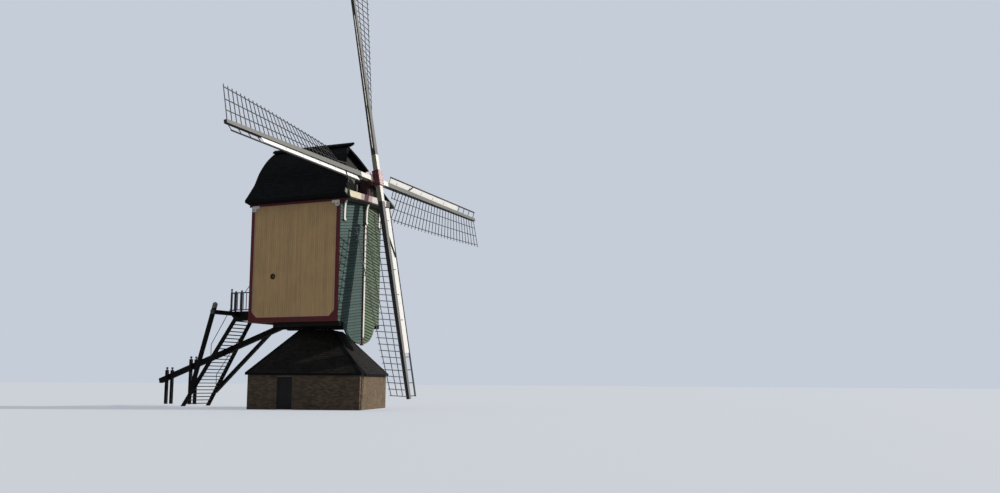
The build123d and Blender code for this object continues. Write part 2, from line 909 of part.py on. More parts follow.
bar_count = ceil((lattice_outer - lattice_inner) / bar_pitch)
bar_radii = [lattice_inner + (lattice_outer - lattice_inner) * i / bar_count for i in range(bar_count + 1)]
inner_bar_radii = [lattice_inner - bar_pitch * (i + 1) for i in range(inner_bar_count)]
inner_batten_reach = hem_reach * batten_inner_share
with BuildPart() as trailing_lattice:
    for bar_radius in inner_bar_radii:
        stick(
            trail_point(bar_radius, 0),
            trail_point(bar_radius, inner_batten_reach + inner_bar_overhang),
            bar_width,
            bar_depth,
            side=(0, 0, 1),
        )
    stick(
        trail_point(inner_bar_radii[-1] - bar_width, inner_batten_reach),
        trail_point(lattice_inner, inner_batten_reach),
        bar_width,
        bar_depth,
        side=(1, 0, 0),
    )
    for bar_radius in bar_radii:
        stick(
            trail_point(bar_radius, 0),
            trail_point(bar_radius, hem_reach + bar_overhang),
            bar_width,
            bar_depth,
            side=(0, 0, 1),
        )
    for share in (batten_inner_share, batten_middle_share, 1):
        for i in range(lath_segments):
            span = (lattice_outer - lattice_inner) / lath_segments
            near = lattice_inner + span * i
            stick(
                trail_point(near, hem_reach * share),
                trail_point(near + span, hem_reach * share),
                bar_width,
                bar_depth,
                side=trail_point(near + span / 2, 1) - Vector(0, 0, near + span / 2),
            )

# Windboards on the leading side, with the lath and stays that run on past them
lead_dir = Vector(cos(radians(board_angle)), sin(radians(board_angle)), 0)


def stock_half_at(radius):
    """Half the thickness of a stock at a distance from the hub."""
    share = (radius - poll_half_height) / (stock_length / 2 - poll_half_height)
    return stock_half + (stock_tip / 2 - stock_half) * share


def lead_plane(radius):
    """Plane across a windboard: x along its width from the stock's side, y through it to the front."""
    return Plane(origin=(stock_half_at(radius), 0, radius), x_dir=lead_dir, z_dir=(0, 0, 1))


def lead_strip(start, end, near, far, thickness, lift):
    """A strip along the leading side between two radii, from near to far across, lifted off the boards."""
    ends = []
    for radius in (start, end):
        with BuildSketch(lead_plane(radius), mode=Mode.PRIVATE) as outline:
            with Locations(((near + far) / 2, lift + thickness / 2)):
                Rectangle(far - near, thickness)
        ends.append(outline.sketch)
    loft(ends)


board_root = board_thick * tan(radians(board_angle)) + seat_gap
with BuildPart() as leading_boards:
    board_run = (board_outer - board_inner + board_joint) / board_count
    for i in range(board_count):
        board_start = board_inner + board_run * i
        board_end = board_start + board_run - board_joint
        lead_strip(board_start, board_end, board_root, board_width, board_thick, 0)
lath_near = board_width + hem_gap
lath_far = lath_near + hem_lath
stay_run = lattice_outer - board_inner - 2 * bar_width
stay_count = ceil(stay_run / stay_pitch)
with BuildPart() as leading_laths:
    lead_strip(board_inner, lattice_outer, lath_near, lath_far, hem_lath_thick, -hem_lath_thick)
    for i in range(stay_count + 1):
        stay_radius = board_inner + bar_width + stay_run * i / stay_count
        slab(
            (-stock_tip / 2, lath_near + hem_lath / 2),
            (-bar_depth, -seat_gap),
            (-bar_width / 2, bar_width / 2),
            lead_plane(stay_radius),
        )

for step, sail_name in enumerate(("upper", "left", "lower", "right")):
    turn_up = radians(90 * step)
    arm_dir = cross_plane.y_dir * cos(turn_up) - cross_plane.x_dir * sin(turn_up)
    lead_side = cross_plane.x_dir * -cos(turn_up) - cross_plane.y_dir * sin(turn_up)
    forward = 0 if step % 2 == 0 else -stock_step
    own_stock = stocks["stock_outer" if step % 2 == 0 else "stock_inner"]
    sail_plane = Plane(origin=cross_point(0, 0, forward), x_dir=lead_side, z_dir=arm_dir)
    with BuildPart() as lattice:
        add(sail_plane.location * trailing_lattice.part)
        add(sail_plane.location * leading_laths.part)
        add(own_stock, mode=Mode.SUBTRACT)
    lattice.part.label = f"lattice_{sail_name}"
    export_step(lattice.part, f"parts/lattice_{sail_name}.step")
    with BuildPart() as windboards:
        add(sail_plane.location * leading_boards.part)
    windboards.part.label = f"windboards_{sail_name}"
    export_step(windboards.part, f"parts/windboards_{sail_name}.step")

# Beam across under the platform, whose ends carry the long struts
cross_beam_x_range = (cross_beam_x - cross_beam_depth / 2, cross_beam_x + cross_beam_depth / 2)
cross_beam_z_range = (platform_under - cross_beam_height, platform_under)
with BuildPart() as cross_beam:
    slab(cross_beam_x_range, (-cross_beam_half, cross_beam_half), cross_beam_z_range)
cross_beam.part.label = "cross_beam"
export_step(cross_beam.part, "parts/cross_beam.step")

# Platform with its two side beams, notched over the cross beam
with BuildPart() as platform:
    slab((platform_rear, body_rear), (-platform_half, platform_half), (platform_under, floor_top))
    for side in (-1, 1):
        with BuildSketch(Plane.XZ.offset(-side * platform_half)):
            with BuildLine():
                Polyline(
                    (body_rear, platform_under),
                    (body_rear, platform_under - platform_beam_depth),
                    (platform_rear + platform_beam_cut, platform_under - platform_beam_depth),
                    (platform_rear, platform_under - platform_beam_depth + platform_beam_cut),
                    (platform_rear, platform_under),
                    close=True,
                )
            make_face()
        extrude(amount=side * platform_beam)
    slab(cross_beam_x_range, (-platform_half, platform_half), cross_beam_z_range, mode=Mode.SUBTRACT)
    add(corner_trim.part, mode=Mode.SUBTRACT)
platform.part.label = "platform"
export_step(platform.part, "parts/platform.step")

# Stair stringers, splayed towards the foot
stair_foot = {side: Vector(stair_foot_x, side * stair_foot_half, 0) for side in (-1, 1)}
stair_top = {side: Vector(stair_top_x, side * stair_top_half, platform_under) for side in (-1, 1)}
stair_rise = stair_top[1] - stair_foot[1]
sawn_share = 0.1
with BuildPart() as stair_stringers:
    for side in (-1, 1):
        run = stair_top[side] - stair_foot[side]
        stick(
            stair_foot[side] - run * sawn_share,
            stair_top[side] + run * sawn_share,
            stringer_board,
            stringer_depth,
        )
    slab(
        (stair_foot_x - floor_top, 0),
        (-floor_top, floor_top),
        (platform_under, 2 * floor_top),
        mode=Mode.SUBTRACT,
    )
    slab(
        (stair_foot_x - floor_top, 0),
        (-floor_top, floor_top),
        (-floor_top, stair_clearance),
        mode=Mode.SUBTRACT,
    )
stair_stringers.part.label = "stair_stringers"
export_step(stair_stringers.part, "parts/stair_stringers.step")

# Tail pole, from its stop under the body down through the stair
tail_top_z = tail_end_z + tail_slope * (tail_stop_x - tail_end_x)
tail_start = (tail_end_x, 0, tail_end_z)
with BuildPart() as tail_pole:
    tail_past_stop = (tail_stop_x + tail_width, 0, tail_top_z + tail_slope * tail_width)
    stick(tail_start, tail_past_stop, tail_width, tail_width)
    slab(
        (tail_stop_x, tail_stop_x + 3 * tail_width),
        (-tail_width, tail_width),
        (0, 2 * floor_top),
        mode=Mode.SUBTRACT,
    )
tail_pole.part.label = "tail_pole"
export_step(tail_pole.part, "parts/tail_pole.step")

# Stair treads between the stringers, cut back where the tail pole passes
tread_count = int((platform_under - tread_rise / 2) // tread_rise)
with BuildPart() as stair_treads:
    for i in range(1, tread_count + 1):
        tread_top = i * tread_rise
        share = tread_top / platform_under
        tread_x = stair_foot_x + stair_rise.X * share
        tread_half = stair_foot_half
        slab(
            (tread_x - tread_depth / 2, tread_x + tread_depth / 2),
            (-tread_half, tread_half),
            (tread_top - tread_board, tread_top),
        )
    for side in (-1, 1):
        run = stair_top[side] - stair_foot[side]
        outward = Vector(0, side * (stair_foot_half / 2 - stringer_board / 4), 0)
        stick(
            stair_foot[side] - run * sawn_share + outward,
            stair_top[side] + run * sawn_share + outward,
            stair_foot_half + stringer_board / 2,
            2 * stringer_depth,
            mode=Mode.SUBTRACT,
        )
    stick(
        tail_start,
        (tail_stop_x, 0, tail_top_z),
        tail_width + 2 * tail_tread_gap,
        tail_width + 2 * tail_tread_gap,
        mode=Mode.SUBTRACT,
    )
stair_treads.part.label = "stair_treads"
export_step(stair_treads.part, "parts/stair_treads.step")

# Long struts from the ends of the cross beam to the foot of the stair
with BuildPart() as tail_struts:
    for side in (-1, 1):
        joint = Vector(strut_beam_x, side * strut_beam_half, platform_under - cross_beam_height / 2)
        foot = Vector(strut_foot_x, side * strut_foot_half, strut_foot_z)
        head = joint + (joint - foot).normalized() * strut_head
        stick(foot, head, strut_width, strut_width)
    add(cross_beam.part, mode=Mode.SUBTRACT)
    for side in (-1, 1):
        run = stair_top[side] - stair_foot[side]
        inward = Vector(0, -side * stair_foot_half / 2, 0)
        stick(
            stair_foot[side] - run * sawn_share + inward,
            stair_top[side] + run * sawn_share + inward,
            stair_foot_half + stringer_board,
            3 * stringer_depth,
            mode=Mode.SUBTRACT,
        )
tail_struts.part.label = "tail_struts"
export_step(tail_struts.part, "parts/tail_struts.step")

# Pairs of posts that grip the tail pole, with ball finials
with BuildPart() as tail_posts:
    for pair_x in (tail_post_inner_x, tail_post_outer_x):
        pole_z = tail_end_z + tail_slope * (pair_x - tail_end_x)
        post_head = pole_z + tail_post_rise
        for side in (-1, 1):
            post_y = side * (tail_width + tail_post) / 2
            slab(
                (pair_x - tail_post / 2, pair_x + tail_post / 2),
                sorted((post_y - tail_post / 2, post_y + tail_post / 2)),
                (tail_post_foot, post_head),
            )
            with BuildSketch(Plane.XY.offset(post_head)):
                with Locations((pair_x, post_y)):
                    Circle(finial_radius / 2)
            extrude(amount=finial_neck + finial_radius)
            with Locations((pair_x, post_y, post_head + finial_neck + finial_radius)):
                Sphere(finial_radius)
tail_posts.part.label = "tail_posts"
export_step(tail_posts.part, "parts/tail_posts.step")


def baluster_row(start, end, foot_z, top_z):
    """Square balusters at an even pitch between two corners of the railing."""
    run = Vector(*end) - Vector(*start)
    count = max(1, int(run.length // baluster_pitch))
    for i in range(1, count):
        middle = Vector(*start) + run * (i / count)
        slab(
            (middle.X - baluster / 2, middle.X + baluster / 2),
            (middle.Y - baluster / 2, middle.Y + baluster / 2),
            (foot_z, top_z),
        )


def rail_run(start, end, level):
    """A horizontal rail from start to end, with its top at a level."""
    low = (min(start[0], end[0]) - rail_bar / 2, min(start[1], end[1]) - rail_bar / 2)
    high = (max(start[0], end[0]) + rail_bar / 2, max(start[1], end[1]) + rail_bar / 2)
    slab((low[0], high[0]), (low[1], high[1]), (level - rail_bar, level))


# Railings of the platform: a run along each side, and a short run each side of the stair's opening
rail_top = floor_top + rail_height
rail_levels = (rail_top, floor_top + 2 * rail_bar)
with BuildPart() as side_railings:
    for side in (-1, 1):
        corner = (platform_rear + rail_post / 2, side * (platform_half - rail_post / 2))
        wall_end = (body_rear - rail_post / 2 - trim_board, corner[1])
        for place in (corner, (rail_mid_x, corner[1]), wall_end):
            slab(
                (place[0] - rail_post / 2, place[0] + rail_post / 2),
                (place[1] - rail_post / 2, place[1] + rail_post / 2),
                (floor_top, rail_top),
            )
        for level in rail_levels:
            rail_run(corner, wall_end, level)
        baluster_row(corner, wall_end, floor_top + rail_bar, rail_top)
side_railings.part.label = "side_railings"
export_step(side_railings.part, "parts/side_railings.step")

with BuildPart() as end_railings:
    for side in (-1, 1):
        corner = (platform_rear + rail_post / 2, side * (platform_half - rail_post / 2))
        stair_end = (corner[0], side * (stair_opening_half + rail_post / 2))
        slab(
            (stair_end[0] - rail_post / 2, stair_end[0] + rail_post / 2),
            (stair_end[1] - rail_post / 2, stair_end[1] + rail_post / 2),
            (floor_top, rail_top),
        )
        for level in rail_levels:
            rail_run(corner, stair_end, level)
        baluster_row(corner, stair_end, floor_top + rail_bar, rail_top)
    add(side_railings.part, mode=Mode.SUBTRACT)
end_railings.part.label = "end_railings"
export_step(end_railings.part, "parts/end_railings.step")

# Handrails from the railing's corner posts down beside the stair, each with an end post on its stringer
with BuildPart() as handrails:
    for side, foot_share in ((-1, handrail_near_foot), (1, handrail_far_foot)):
        corner_y = side * (platform_half - rail_post / 2)
        corner = Vector(platform_rear + rail_post / 2, corner_y, floor_top + handrail_start)
        seat = stair_foot[side] + (stair_top[side] - stair_foot[side]) * foot_share
        end = seat + Vector(0, 0, handrail_height)
        rod(corner, end, handrail_radius)
        rod(seat, end, handrail_radius)
        with Locations(end):
            Sphere(handrail_radius)
    add(side_railings.part, mode=Mode.SUBTRACT)
    add(end_railings.part, mode=Mode.SUBTRACT)
    add(stair_stringers.part, mode=Mode.SUBTRACT)
handrails.part.label = "handrails"
export_step(handrails.part, "parts/handrails.step")
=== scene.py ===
import random
from math import asin, ceil, cos, hypot, pi, radians, sin, sqrt, tan

import bmesh
import bpy
from mathutils import Matrix, Vector


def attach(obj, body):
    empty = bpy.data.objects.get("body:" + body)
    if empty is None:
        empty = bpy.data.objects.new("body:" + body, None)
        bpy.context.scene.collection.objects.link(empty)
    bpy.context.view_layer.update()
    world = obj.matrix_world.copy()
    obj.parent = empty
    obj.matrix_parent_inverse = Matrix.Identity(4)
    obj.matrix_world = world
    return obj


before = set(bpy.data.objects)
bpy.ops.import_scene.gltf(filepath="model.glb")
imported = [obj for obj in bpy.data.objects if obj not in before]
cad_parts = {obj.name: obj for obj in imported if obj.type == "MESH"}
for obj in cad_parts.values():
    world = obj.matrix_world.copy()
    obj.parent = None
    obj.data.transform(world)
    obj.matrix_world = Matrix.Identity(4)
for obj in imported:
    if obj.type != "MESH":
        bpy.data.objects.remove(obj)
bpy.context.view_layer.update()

random.seed(7)

# Camera: a person's eye level on flat ground, some 60 m off, looking a little up at the mill.
# It is fitted to the photograph, whose frame is 1000 by 493 pixels.
eye = Vector((35.799, -51.374, 1.495))
heading = radians(-25.238)
looking_up = radians(7.469)
roll = radians(0.364)
forward = Vector((sin(heading) * cos(looking_up), cos(heading) * cos(looking_up), sin(looking_up)))
level = Vector((cos(heading), -sin(heading), 0))
right = level * cos(roll) + level.cross(forward) * sin(roll)
lens = bpy.data.cameras.new("camera")
lens.lens = 37.72
lens.sensor_width = 36
lens.clip_end = 2000
camera = bpy.data.objects.new("camera", lens)
axes = Matrix((right, right.cross(forward), -forward)).transposed()
camera.matrix_world = Matrix.Translation(eye) @ axes.to_4x4()
bpy.context.scene.collection.objects.link(camera)
bpy.context.scene.camera = camera

# Light: a low sun in front of the sails and beyond the mill, with an even pale sky for the shaded side.
# The camera sees a paler sky than the one that lights the mill.
bpy.context.scene.view_settings.view_transform = "Standard"
sun_bearing = radians(32)
sun_height = radians(31)
sun_lamp = bpy.data.lights.new("sun", "SUN")
sun_lamp.energy = 3.7
sun_lamp.angle = radians(0.7)
sun_lamp.color = (1, 0.96, 0.9)
sun = bpy.data.objects.new("sun", sun_lamp)
to_sun = Vector((cos(sun_bearing) * cos(sun_height), sin(sun_bearing) * cos(sun_height), sin(sun_height)))
sun.rotation_mode = "QUATERNION"
sun.rotation_quaternion = to_sun.to_track_quat("Z", "Y")
bpy.context.scene.collection.objects.link(sun)


def node(tree, kind, **settings):
    """A new shader node, with its settings and the values of its named or numbered inputs."""
    made = tree.nodes.new(kind)
    inputs = settings.pop("inputs", {})
    for name, value in settings.items():
        setattr(made, name, value)
    for name, value in inputs.items():
        if isinstance(value, bpy.types.NodeSocket):
            tree.links.new(value, made.inputs[name])
        else:
            made.inputs[name].default_value = value
    return made


def worked(tree, operation, *values):
    """One step of arithmetic on masks and values."""
    return node(tree, "ShaderNodeMath", operation=operation, inputs=dict(enumerate(values))).outputs[0]


sky_light = (0.37, 0.385, 0.42, 1)
sky_seen = (0.56, 0.61, 0.69, 1)
world = bpy.data.worlds.new("sky")
bpy.context.scene.world = world
world.use_nodes = True
tree = world.node_tree
tree.nodes.clear()
rays = node(tree, "ShaderNodeLightPath")
seen = worked(tree, "MAXIMUM", rays.outputs["Is Camera Ray"], rays.outputs["Is Transmission Ray"])
lit = node(tree, "ShaderNodeBackground", inputs={"Color": sky_light})
shown = node(tree, "ShaderNodeBackground", inputs={"Color": sky_seen})
both = node(tree, "ShaderNodeMixShader", inputs={0: seen, 1: lit.outputs[0], 2: shown.outputs[0]})
node(tree, "ShaderNodeOutputWorld", inputs={"Surface": both.outputs[0]})

# Floor: one plain pale sheet that takes the mill's shadow. A little of the sky's colour is added where
# the camera sees it, so that it meets the sky softly.
floor_half = 900
sky_share = 0.55
bm = bmesh.new()
bmesh.ops.create_grid(bm, x_segments=1, y_segments=1, size=floor_half)
floor_mesh = bpy.data.meshes.new("studio_floor")
bm.to_mesh(floor_mesh)
bm.free()
studio_floor = bpy.data.objects.new("studio_floor", floor_mesh)
bpy.context.scene.collection.objects.link(studio_floor)
pale = bpy.data.materials.new("studio_floor")
pale.use_nodes = True
tree = pale.node_tree
shader = tree.nodes["Principled BSDF"]
shader.inputs["Base Color"].default_value = (0.27, 0.28, 0.29, 1)
shader.inputs["Roughness"].default_value = 0.95
shader.inputs["Emission Color"].default_value = (0.56, 0.60, 0.67, 1)
rays = node(tree, "ShaderNodeLightPath")
tree.links.new(
    worked(tree, "MULTIPLY", rays.outputs["Is Camera Ray"], sky_share), shader.inputs["Emission Strength"]
)
floor_mesh.materials.append(pale)

# Brick walls of the base: grey-brown stock bricks of 220 by 65 mm in pale lime mortar, laid in a running
# bond and standing a little proud of their joints. The low room is turned away from the mill above it. The
# bricks of the wall with the door are darkened by painted shade.
base_turn = Matrix.Rotation(radians(18.5), 4, "Z")
base_half = 3.2
base_wall_top = 1.95
door_left = -1.52
door_right = -0.64
door_top = 1.8
door_clear = 0.02
wall_courses = 25
bricks_along = 28
brick_joint = 0.011
brick_proud = 0.006
least_proud = 0.7
shortest_brick = 0.03
brick_tones = (-0.22, 0.26)
front_painted_shade = 0.38
let_in = 0.002

# The bricks weather in the open, and so does all that follows: a grain along the wood or brick, streaks
# that the rain leaves, and patches of grime. One node group makes these for all the finishes.
streak_stretch = (5.0, 5.0, 0.5)
rough_spread = 0.08
weathered = bpy.data.node_groups.new("weathered", "ShaderNodeTree")
for name, kind, value in (
    ("Place", "NodeSocketVector", None),
    ("Along Grain", "NodeSocketVector", None),
    ("Colour", "NodeSocketColor", (0.5, 0.5, 0.5, 1)),
    ("Grime", "NodeSocketColor", (0.05, 0.05, 0.05, 1)),
    ("Grime Amount", "NodeSocketFloat", 0.4),
    ("Grain Amount", "NodeSocketFloat", 0.3),
    ("Tone", "NodeSocketFloat", 0.0),
    ("Roughness", "NodeSocketFloat", 0.7),
):
    made = weathered.interface.new_socket(name=name, in_out="INPUT", socket_type=kind)
    if value is not None:
        made.default_value = value
for name, kind in (
    ("Colour", "NodeSocketColor"),
    ("Roughness", "NodeSocketFloat"),
    ("Height", "NodeSocketFloat"),
):
    weathered.interface.new_socket(name=name, in_out="OUTPUT", socket_type=kind)


def noise(tree, place, scale, detail, roughness):
    """A cloudy pattern over a place."""
    settings = {"Vector": place, "Scale": scale, "Detail": detail, "Roughness": roughness}
    return node(tree, "ShaderNodeTexNoise", inputs=settings).outputs[0]


def ranged(tree, value, low, high, to_low=0.0, to_high=1.0):
    """A value between low and high, drawn out to another range."""
    settings = {"Value": value, "From Min": low, "From Max": high, "To Min": to_low, "To Max": to_high}
    return node(tree, "ShaderNodeMapRange", inputs=settings).outputs[0]


def blended(tree, share, under, over):
    """One colour over another by a mask."""
    under, over = ((*colour, 1) if isinstance(colour, tuple) else colour for colour in (under, over))
    return node(tree, "ShaderNodeMix", data_type="RGBA", inputs={0: share, 6: under, 7: over}).outputs[2]


given = node(weathered, "NodeGroupInput").outputs
grain = noise(weathered, given["Along Grain"], 1.0, 5.0, 0.65)
patch = noise(weathered, given["Place"], 0.9, 5.0, 0.6)
run_down = node(
    weathered,
    "ShaderNodeVectorMath",
    operation="MULTIPLY",
    inputs={0: given["Place"], 1: streak_stretch},
)
streak = noise(weathered, run_down.outputs[0], 1.0, 4.0, 0.6)
dirt = ranged(weathered, worked(weathered, "MULTIPLY", patch, streak), 0.16, 0.42)
dirt_share = worked(weathered, "MULTIPLY", dirt, given["Grime Amount"])
shade = ranged(weathered, grain, 0.3, 0.7, -1.0, 1.0)
grained_tone = worked(weathered, "MULTIPLY_ADD", shade, given["Grain Amount"], 1.0)
tinted = node(
    weathered,
    "ShaderNodeVectorMath",
    operation="SCALE",
    inputs={0: given["Colour"], "Scale": worked(weathered, "ADD", grained_tone, given["Tone"])},
)
node(
    weathered,
    "NodeGroupOutput",
    inputs={
        "Colour": blended(weathered, dirt_share, tinted.outputs[0], given["Grime"]),
        "Roughness": worked(weathered, "MULTIPLY_ADD", shade, rough_spread, given["Roughness"]),
        "Height": grain,
    },
)


def finish(
    name, colour, grime, grain, rough=0.7, dirty=0.4, grained=0.15, bump=0.004, metallic=0.0, gloss=0.5
):
    """A weathered finish. Its grain is how often it varies each metre along X, Y and Z.

    The colour is a plain one, or a function that makes one from nodes in the finish's tree.
    """
    made = bpy.data.materials.new(name)
    made.use_nodes = True
    tree = made.node_tree
    shader = tree.nodes["Principled BSDF"]
    coords = node(tree, "ShaderNodeTexCoord")
    along = node(tree, "ShaderNodeMapping", inputs={"Vector": coords.outputs["Object"], "Scale": grain})
    tone = node(tree, "ShaderNodeAttribute", attribute_name="tone")
    wear = node(
        tree,
        "ShaderNodeGroup",
        node_tree=weathered,
        inputs={
            "Place": coords.outputs["Object"],
            "Along Grain": along.outputs[0],
            "Colour": colour(tree) if callable(colour) else (*colour, 1),
            "Grime": (*grime, 1),
            "Grime Amount": dirty,
            "Grain Amount": grained,
            "Tone": tone.outputs["Fac"],
            "Roughness": rough,
        },
    )
    tree.links.new(wear.outputs["Colour"], shader.inputs["Base Color"])
    tree.links.new(wear.outputs["Roughness"], shader.inputs["Roughness"])
    shader.inputs["Metallic"].default_value = metallic
    shader.inputs["Specular IOR Level"].default_value = gloss
    relief = node(tree, "ShaderNodeBump", inputs={"Height": wear.outputs["Height"], "Distance": bump})
    tree.links.new(relief.outputs[0], shader.inputs["Normal"])
    return made


def dress(material, *names):
    """Gives CAD nodes a finish."""
    for name in names:
        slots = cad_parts[name].data.materials
        slots.clear()
        slots.append(material)


def block(bm, place, tone=0.0):
    """A six-sided piece. Place gives each corner from its signs along the piece's three ways."""
    layer = bm.verts.layers.float.get("tone") or bm.verts.layers.float.new("tone")
    corners = bmesh.ops.create_cube(bm, size=2)["verts"]
    for corner in corners:
        corner.co = place(*(round(c) for c in corner.co))
        corner[layer] = tone


def slab(bm, x, y, z, turn=Matrix.Identity(4), tone=0.0):
    """A box between pairs of x, y and z, turned into place."""
    block(bm, lambda u, v, w: turn @ Vector((x[u > 0], y[v > 0], z[w > 0])), tone)


def piece(name, bm, body, material, worn=0.0):
    """A new piece that rides on a body, from a finished mesh, with its edges worn off by a width."""
    if not bm.verts.layers.float.get("tone"):
        bm.verts.layers.float.new("tone")
    bmesh.ops.recalc_face_normals(bm, faces=bm.faces)
    mesh = bpy.data.meshes.new(name)
    bm.to_mesh(mesh)
    bm.free()
    mesh.materials.append(material)
    made = bpy.data.objects.new(name, mesh)
    bpy.context.scene.collection.objects.link(made)
    if worn:
        edges = made.modifiers.new("worn_edges", "BEVEL")
        edges.width = worn
        edges.segments = 1
        edges.limit_method = "ANGLE"
    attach(made, body)


mortar = finish(
    "lime_mortar", (0.15, 0.13, 0.105), (0.05, 0.045, 0.035), (30, 30, 30),
    rough=0.95, dirty=0.5, grained=0.2, bump=0.004, gloss=0.1,
)
brick = finish(
    "grey_brown_brick", (0.17, 0.122, 0.082), (0.05, 0.042, 0.03), (40, 40, 40),
    rough=0.9, dirty=0.45, grained=0.25, bump=0.003, gloss=0.1,
)
dress(mortar, *("base_wall_" + run for run in ("front_left", "front_right", "right", "left", "back")))
dress(mortar, "base_lintel", "piers")
base_sides = [base_turn @ Matrix.Rotation(side * pi / 2, 4, "Z") for side in range(4)]
course = base_wall_top / wall_courses
brick_run = base_half * 2 / bricks_along
bm = bmesh.new()
for side, turn in enumerate(base_sides):
    reach = base_half + (brick_proud if side % 2 == 0 else 0)
    for row in range(wall_courses):
        z = (row * course + brick_joint / 2, (row + 1) * course - brick_joint / 2)
        for place in range(-1, bricks_along):
            start = -base_half + (place + row % 2 / 2) * brick_run + brick_joint / 2
            runs = [(max(start, -reach), min(start + brick_run - brick_joint, reach))]
            if side == 0 and z[0] < door_top:
                low, high = runs[0]
                runs = [(low, min(high, door_left - door_clear)), (max(low, door_right + door_clear), high)]
            for low, high in runs:
                if high - low > shortest_brick:
                    proud = brick_proud * random.uniform(least_proud, 1.0)
                    tone = random.uniform(*brick_tones) - (front_painted_shade if side == 0 else 0)
                    slab(bm, (low, high), (-base_half - proud, -base_half + let_in), z, turn, tone)
piece("base_bricks", bm, "base", brick)

# Door of the base: five tarred blue-black planks nailed over ledges, hung on two forged straps. The first
# plank is cut back from the hinge edge, so that it clears the pintles when the door stands open.
door_paint = finish(
    "navy_door_paint", (0.012, 0.0125, 0.016), (0.05, 0.045, 0.04), (30, 30, 2),
    rough=0.6, dirty=0.3, grained=0.3, bump=0.002, gloss=0.2,
)
iron = finish(
    "painted_iron", (0.05, 0.05, 0.055), (0.12, 0.06, 0.03), (25, 25, 25),
    rough=0.5, dirty=0.3, grained=0.2, bump=0.001, metallic=0.6,
)
dress(door_paint, "base_door", "rear_door")
dress(iron, "door_pintles", "handrails", "windshaft")
door_gap = 0.006
plank_count = 5
plank_gap = 0.003
plank_proud = 0.004
plank_deep = 0.01
plank_foot = 0.015
plank_head = door_top - 0.01
hinge_room = 0.035
plank_tones = (-0.1, 0.1)
plank = (door_right - door_left - 2 * door_gap) / plank_count
bm = bmesh.new()
for i in range(plank_count):
    start = door_left + door_gap + plank * i
    slab(
        bm,
        (start + (hinge_room if i == 0 else plank_gap), start + plank - plank_gap),
        (-base_half - plank_proud, -base_half + plank_deep),
        (plank_foot, plank_head),
        base_turn,
        random.uniform(*plank_tones),
    )
piece("base_door_planks", bm, "base_door", door_paint, worn=0.0015)

# Roof of the base: tarred wooden shingles nailed in courses on a cut-off pyramid. Each course laps the
# one below it, and its joints stand half a shingle on.
base_eaves = base_half + 0.12
base_roof_low = base_wall_top + 0.06
base_roof_top = 4.5
base_roof_top_half = 1.0
course_count = 20
course_cover = 1.1
shingle_width = 0.24
shingle_gap = 0.003
narrowest_shingle = 0.04
shingle_lifts = (0.014, 0.02)
shingle_head = 0.004
shingle_tones = (-0.35, 0.4)
felt = finish(
    "black_roofing", (0.005, 0.0065, 0.008), (0.014, 0.014, 0.014), (9, 9, 9),
    rough=0.9, dirty=0.3, grained=0.3, bump=0.004, gloss=0.1,
)
shingles = finish(
    "tarred_shingles", (0.011, 0.0105, 0.0095), (0.034, 0.03, 0.024), (30, 30, 30),
    rough=0.85, dirty=0.45, grained=0.3, bump=0.003, gloss=0.12,
)
dress(shingles, "base_roof")
base_slope = Vector((0, base_eaves - base_roof_top_half, base_roof_top - base_roof_low))
base_out = Vector((0, -base_slope.z, base_slope.y)).normalized()
bm = bmesh.new()
for turn in base_sides:
    for row in range(course_count):
        low_share = row / course_count
        high_share = (row + course_cover) / course_count
        low_half = base_eaves - (base_eaves - base_roof_top_half) * low_share
        high_half = base_eaves - (base_eaves - base_roof_top_half) * high_share
        count = ceil(2 * low_half / shingle_width)
        shift = shingle_width / 2 * (row % 2)
        for i in range(count + 1):
            start = max(-low_half, -low_half + i * shingle_width - shift)
            end = min(low_half, -low_half + (i + 1) * shingle_width - shift)
            if end - start < narrowest_shingle:
                continue
            lift = random.uniform(*shingle_lifts)
            edges = (start + shingle_gap, end - shingle_gap)

            def corner(u, v, w):
                across = edges[u > 0]
                if v > 0:
                    across = max(-high_half, min(high_half, across))
                foot = Vector((across, -base_eaves, base_roof_low))
                up = (lift if v < 0 else shingle_head) if w > 0 else -let_in
                return turn @ (foot + base_slope * (high_share if v > 0 else low_share) + base_out * up)

            block(bm, corner, random.uniform(*shingle_tones))
piece("base_roof_shingles", bm, "base", shingles)

# Hips and eaves of the base's roof: tarred boards nailed over the four hips, one on each slope, and a
# dark board along each eaves that hides the ends of the rafters.
hip_width = 0.14
hip_thick = 0.035
hip_under = 0.001
eaves_board = 0.012
eaves_board_low = base_wall_top - 0.04
eaves_board_high = base_roof_low + 0.015
hip_foot = Vector((base_eaves, -base_eaves, base_roof_low))
hip_head = Vector((base_roof_top_half, -base_roof_top_half, base_roof_top))
hip_faces = (
    (Vector((-1, 0, 0)), base_out),
    (Vector((0, 1, 0)), Matrix.Rotation(pi / 2, 3, "Z") @ base_out),
)
bm = bmesh.new()
for turn in base_sides:
    for away, out in hip_faces:

        def corner(u, v, w):
            end = hip_head if v > 0 else hip_foot
            across = away * hip_width if u > 0 else Vector((0, 0, 0))
            return turn @ (end + across + out * (hip_thick if w > 0 else hip_under))

        block(bm, corner)
for turn in base_sides:
    slab(
        bm,
        (-base_eaves - eaves_board, base_eaves + eaves_board),
        (-base_eaves - eaves_board, -base_eaves + let_in),
        (eaves_board_low, eaves_board_high),
        turn,
    )
piece("base_roof_hips", bm, "base", felt, worn=0.004)

# Post and trestle inside the base, with the crown tree that turns on the post: hewn oak that carries the
# whole mill, notched and wedged together. The floor and the tail beam are of the same oak.
oak = finish(
    "hewn_oak", (0.26, 0.18, 0.11), (0.07, 0.055, 0.04), (14, 14, 1.5),
    rough=0.8, dirty=0.4, grained=0.35, bump=0.006,
)
dress(oak, "post", "trestle", "crown_tree", "floor", "tail_beam")

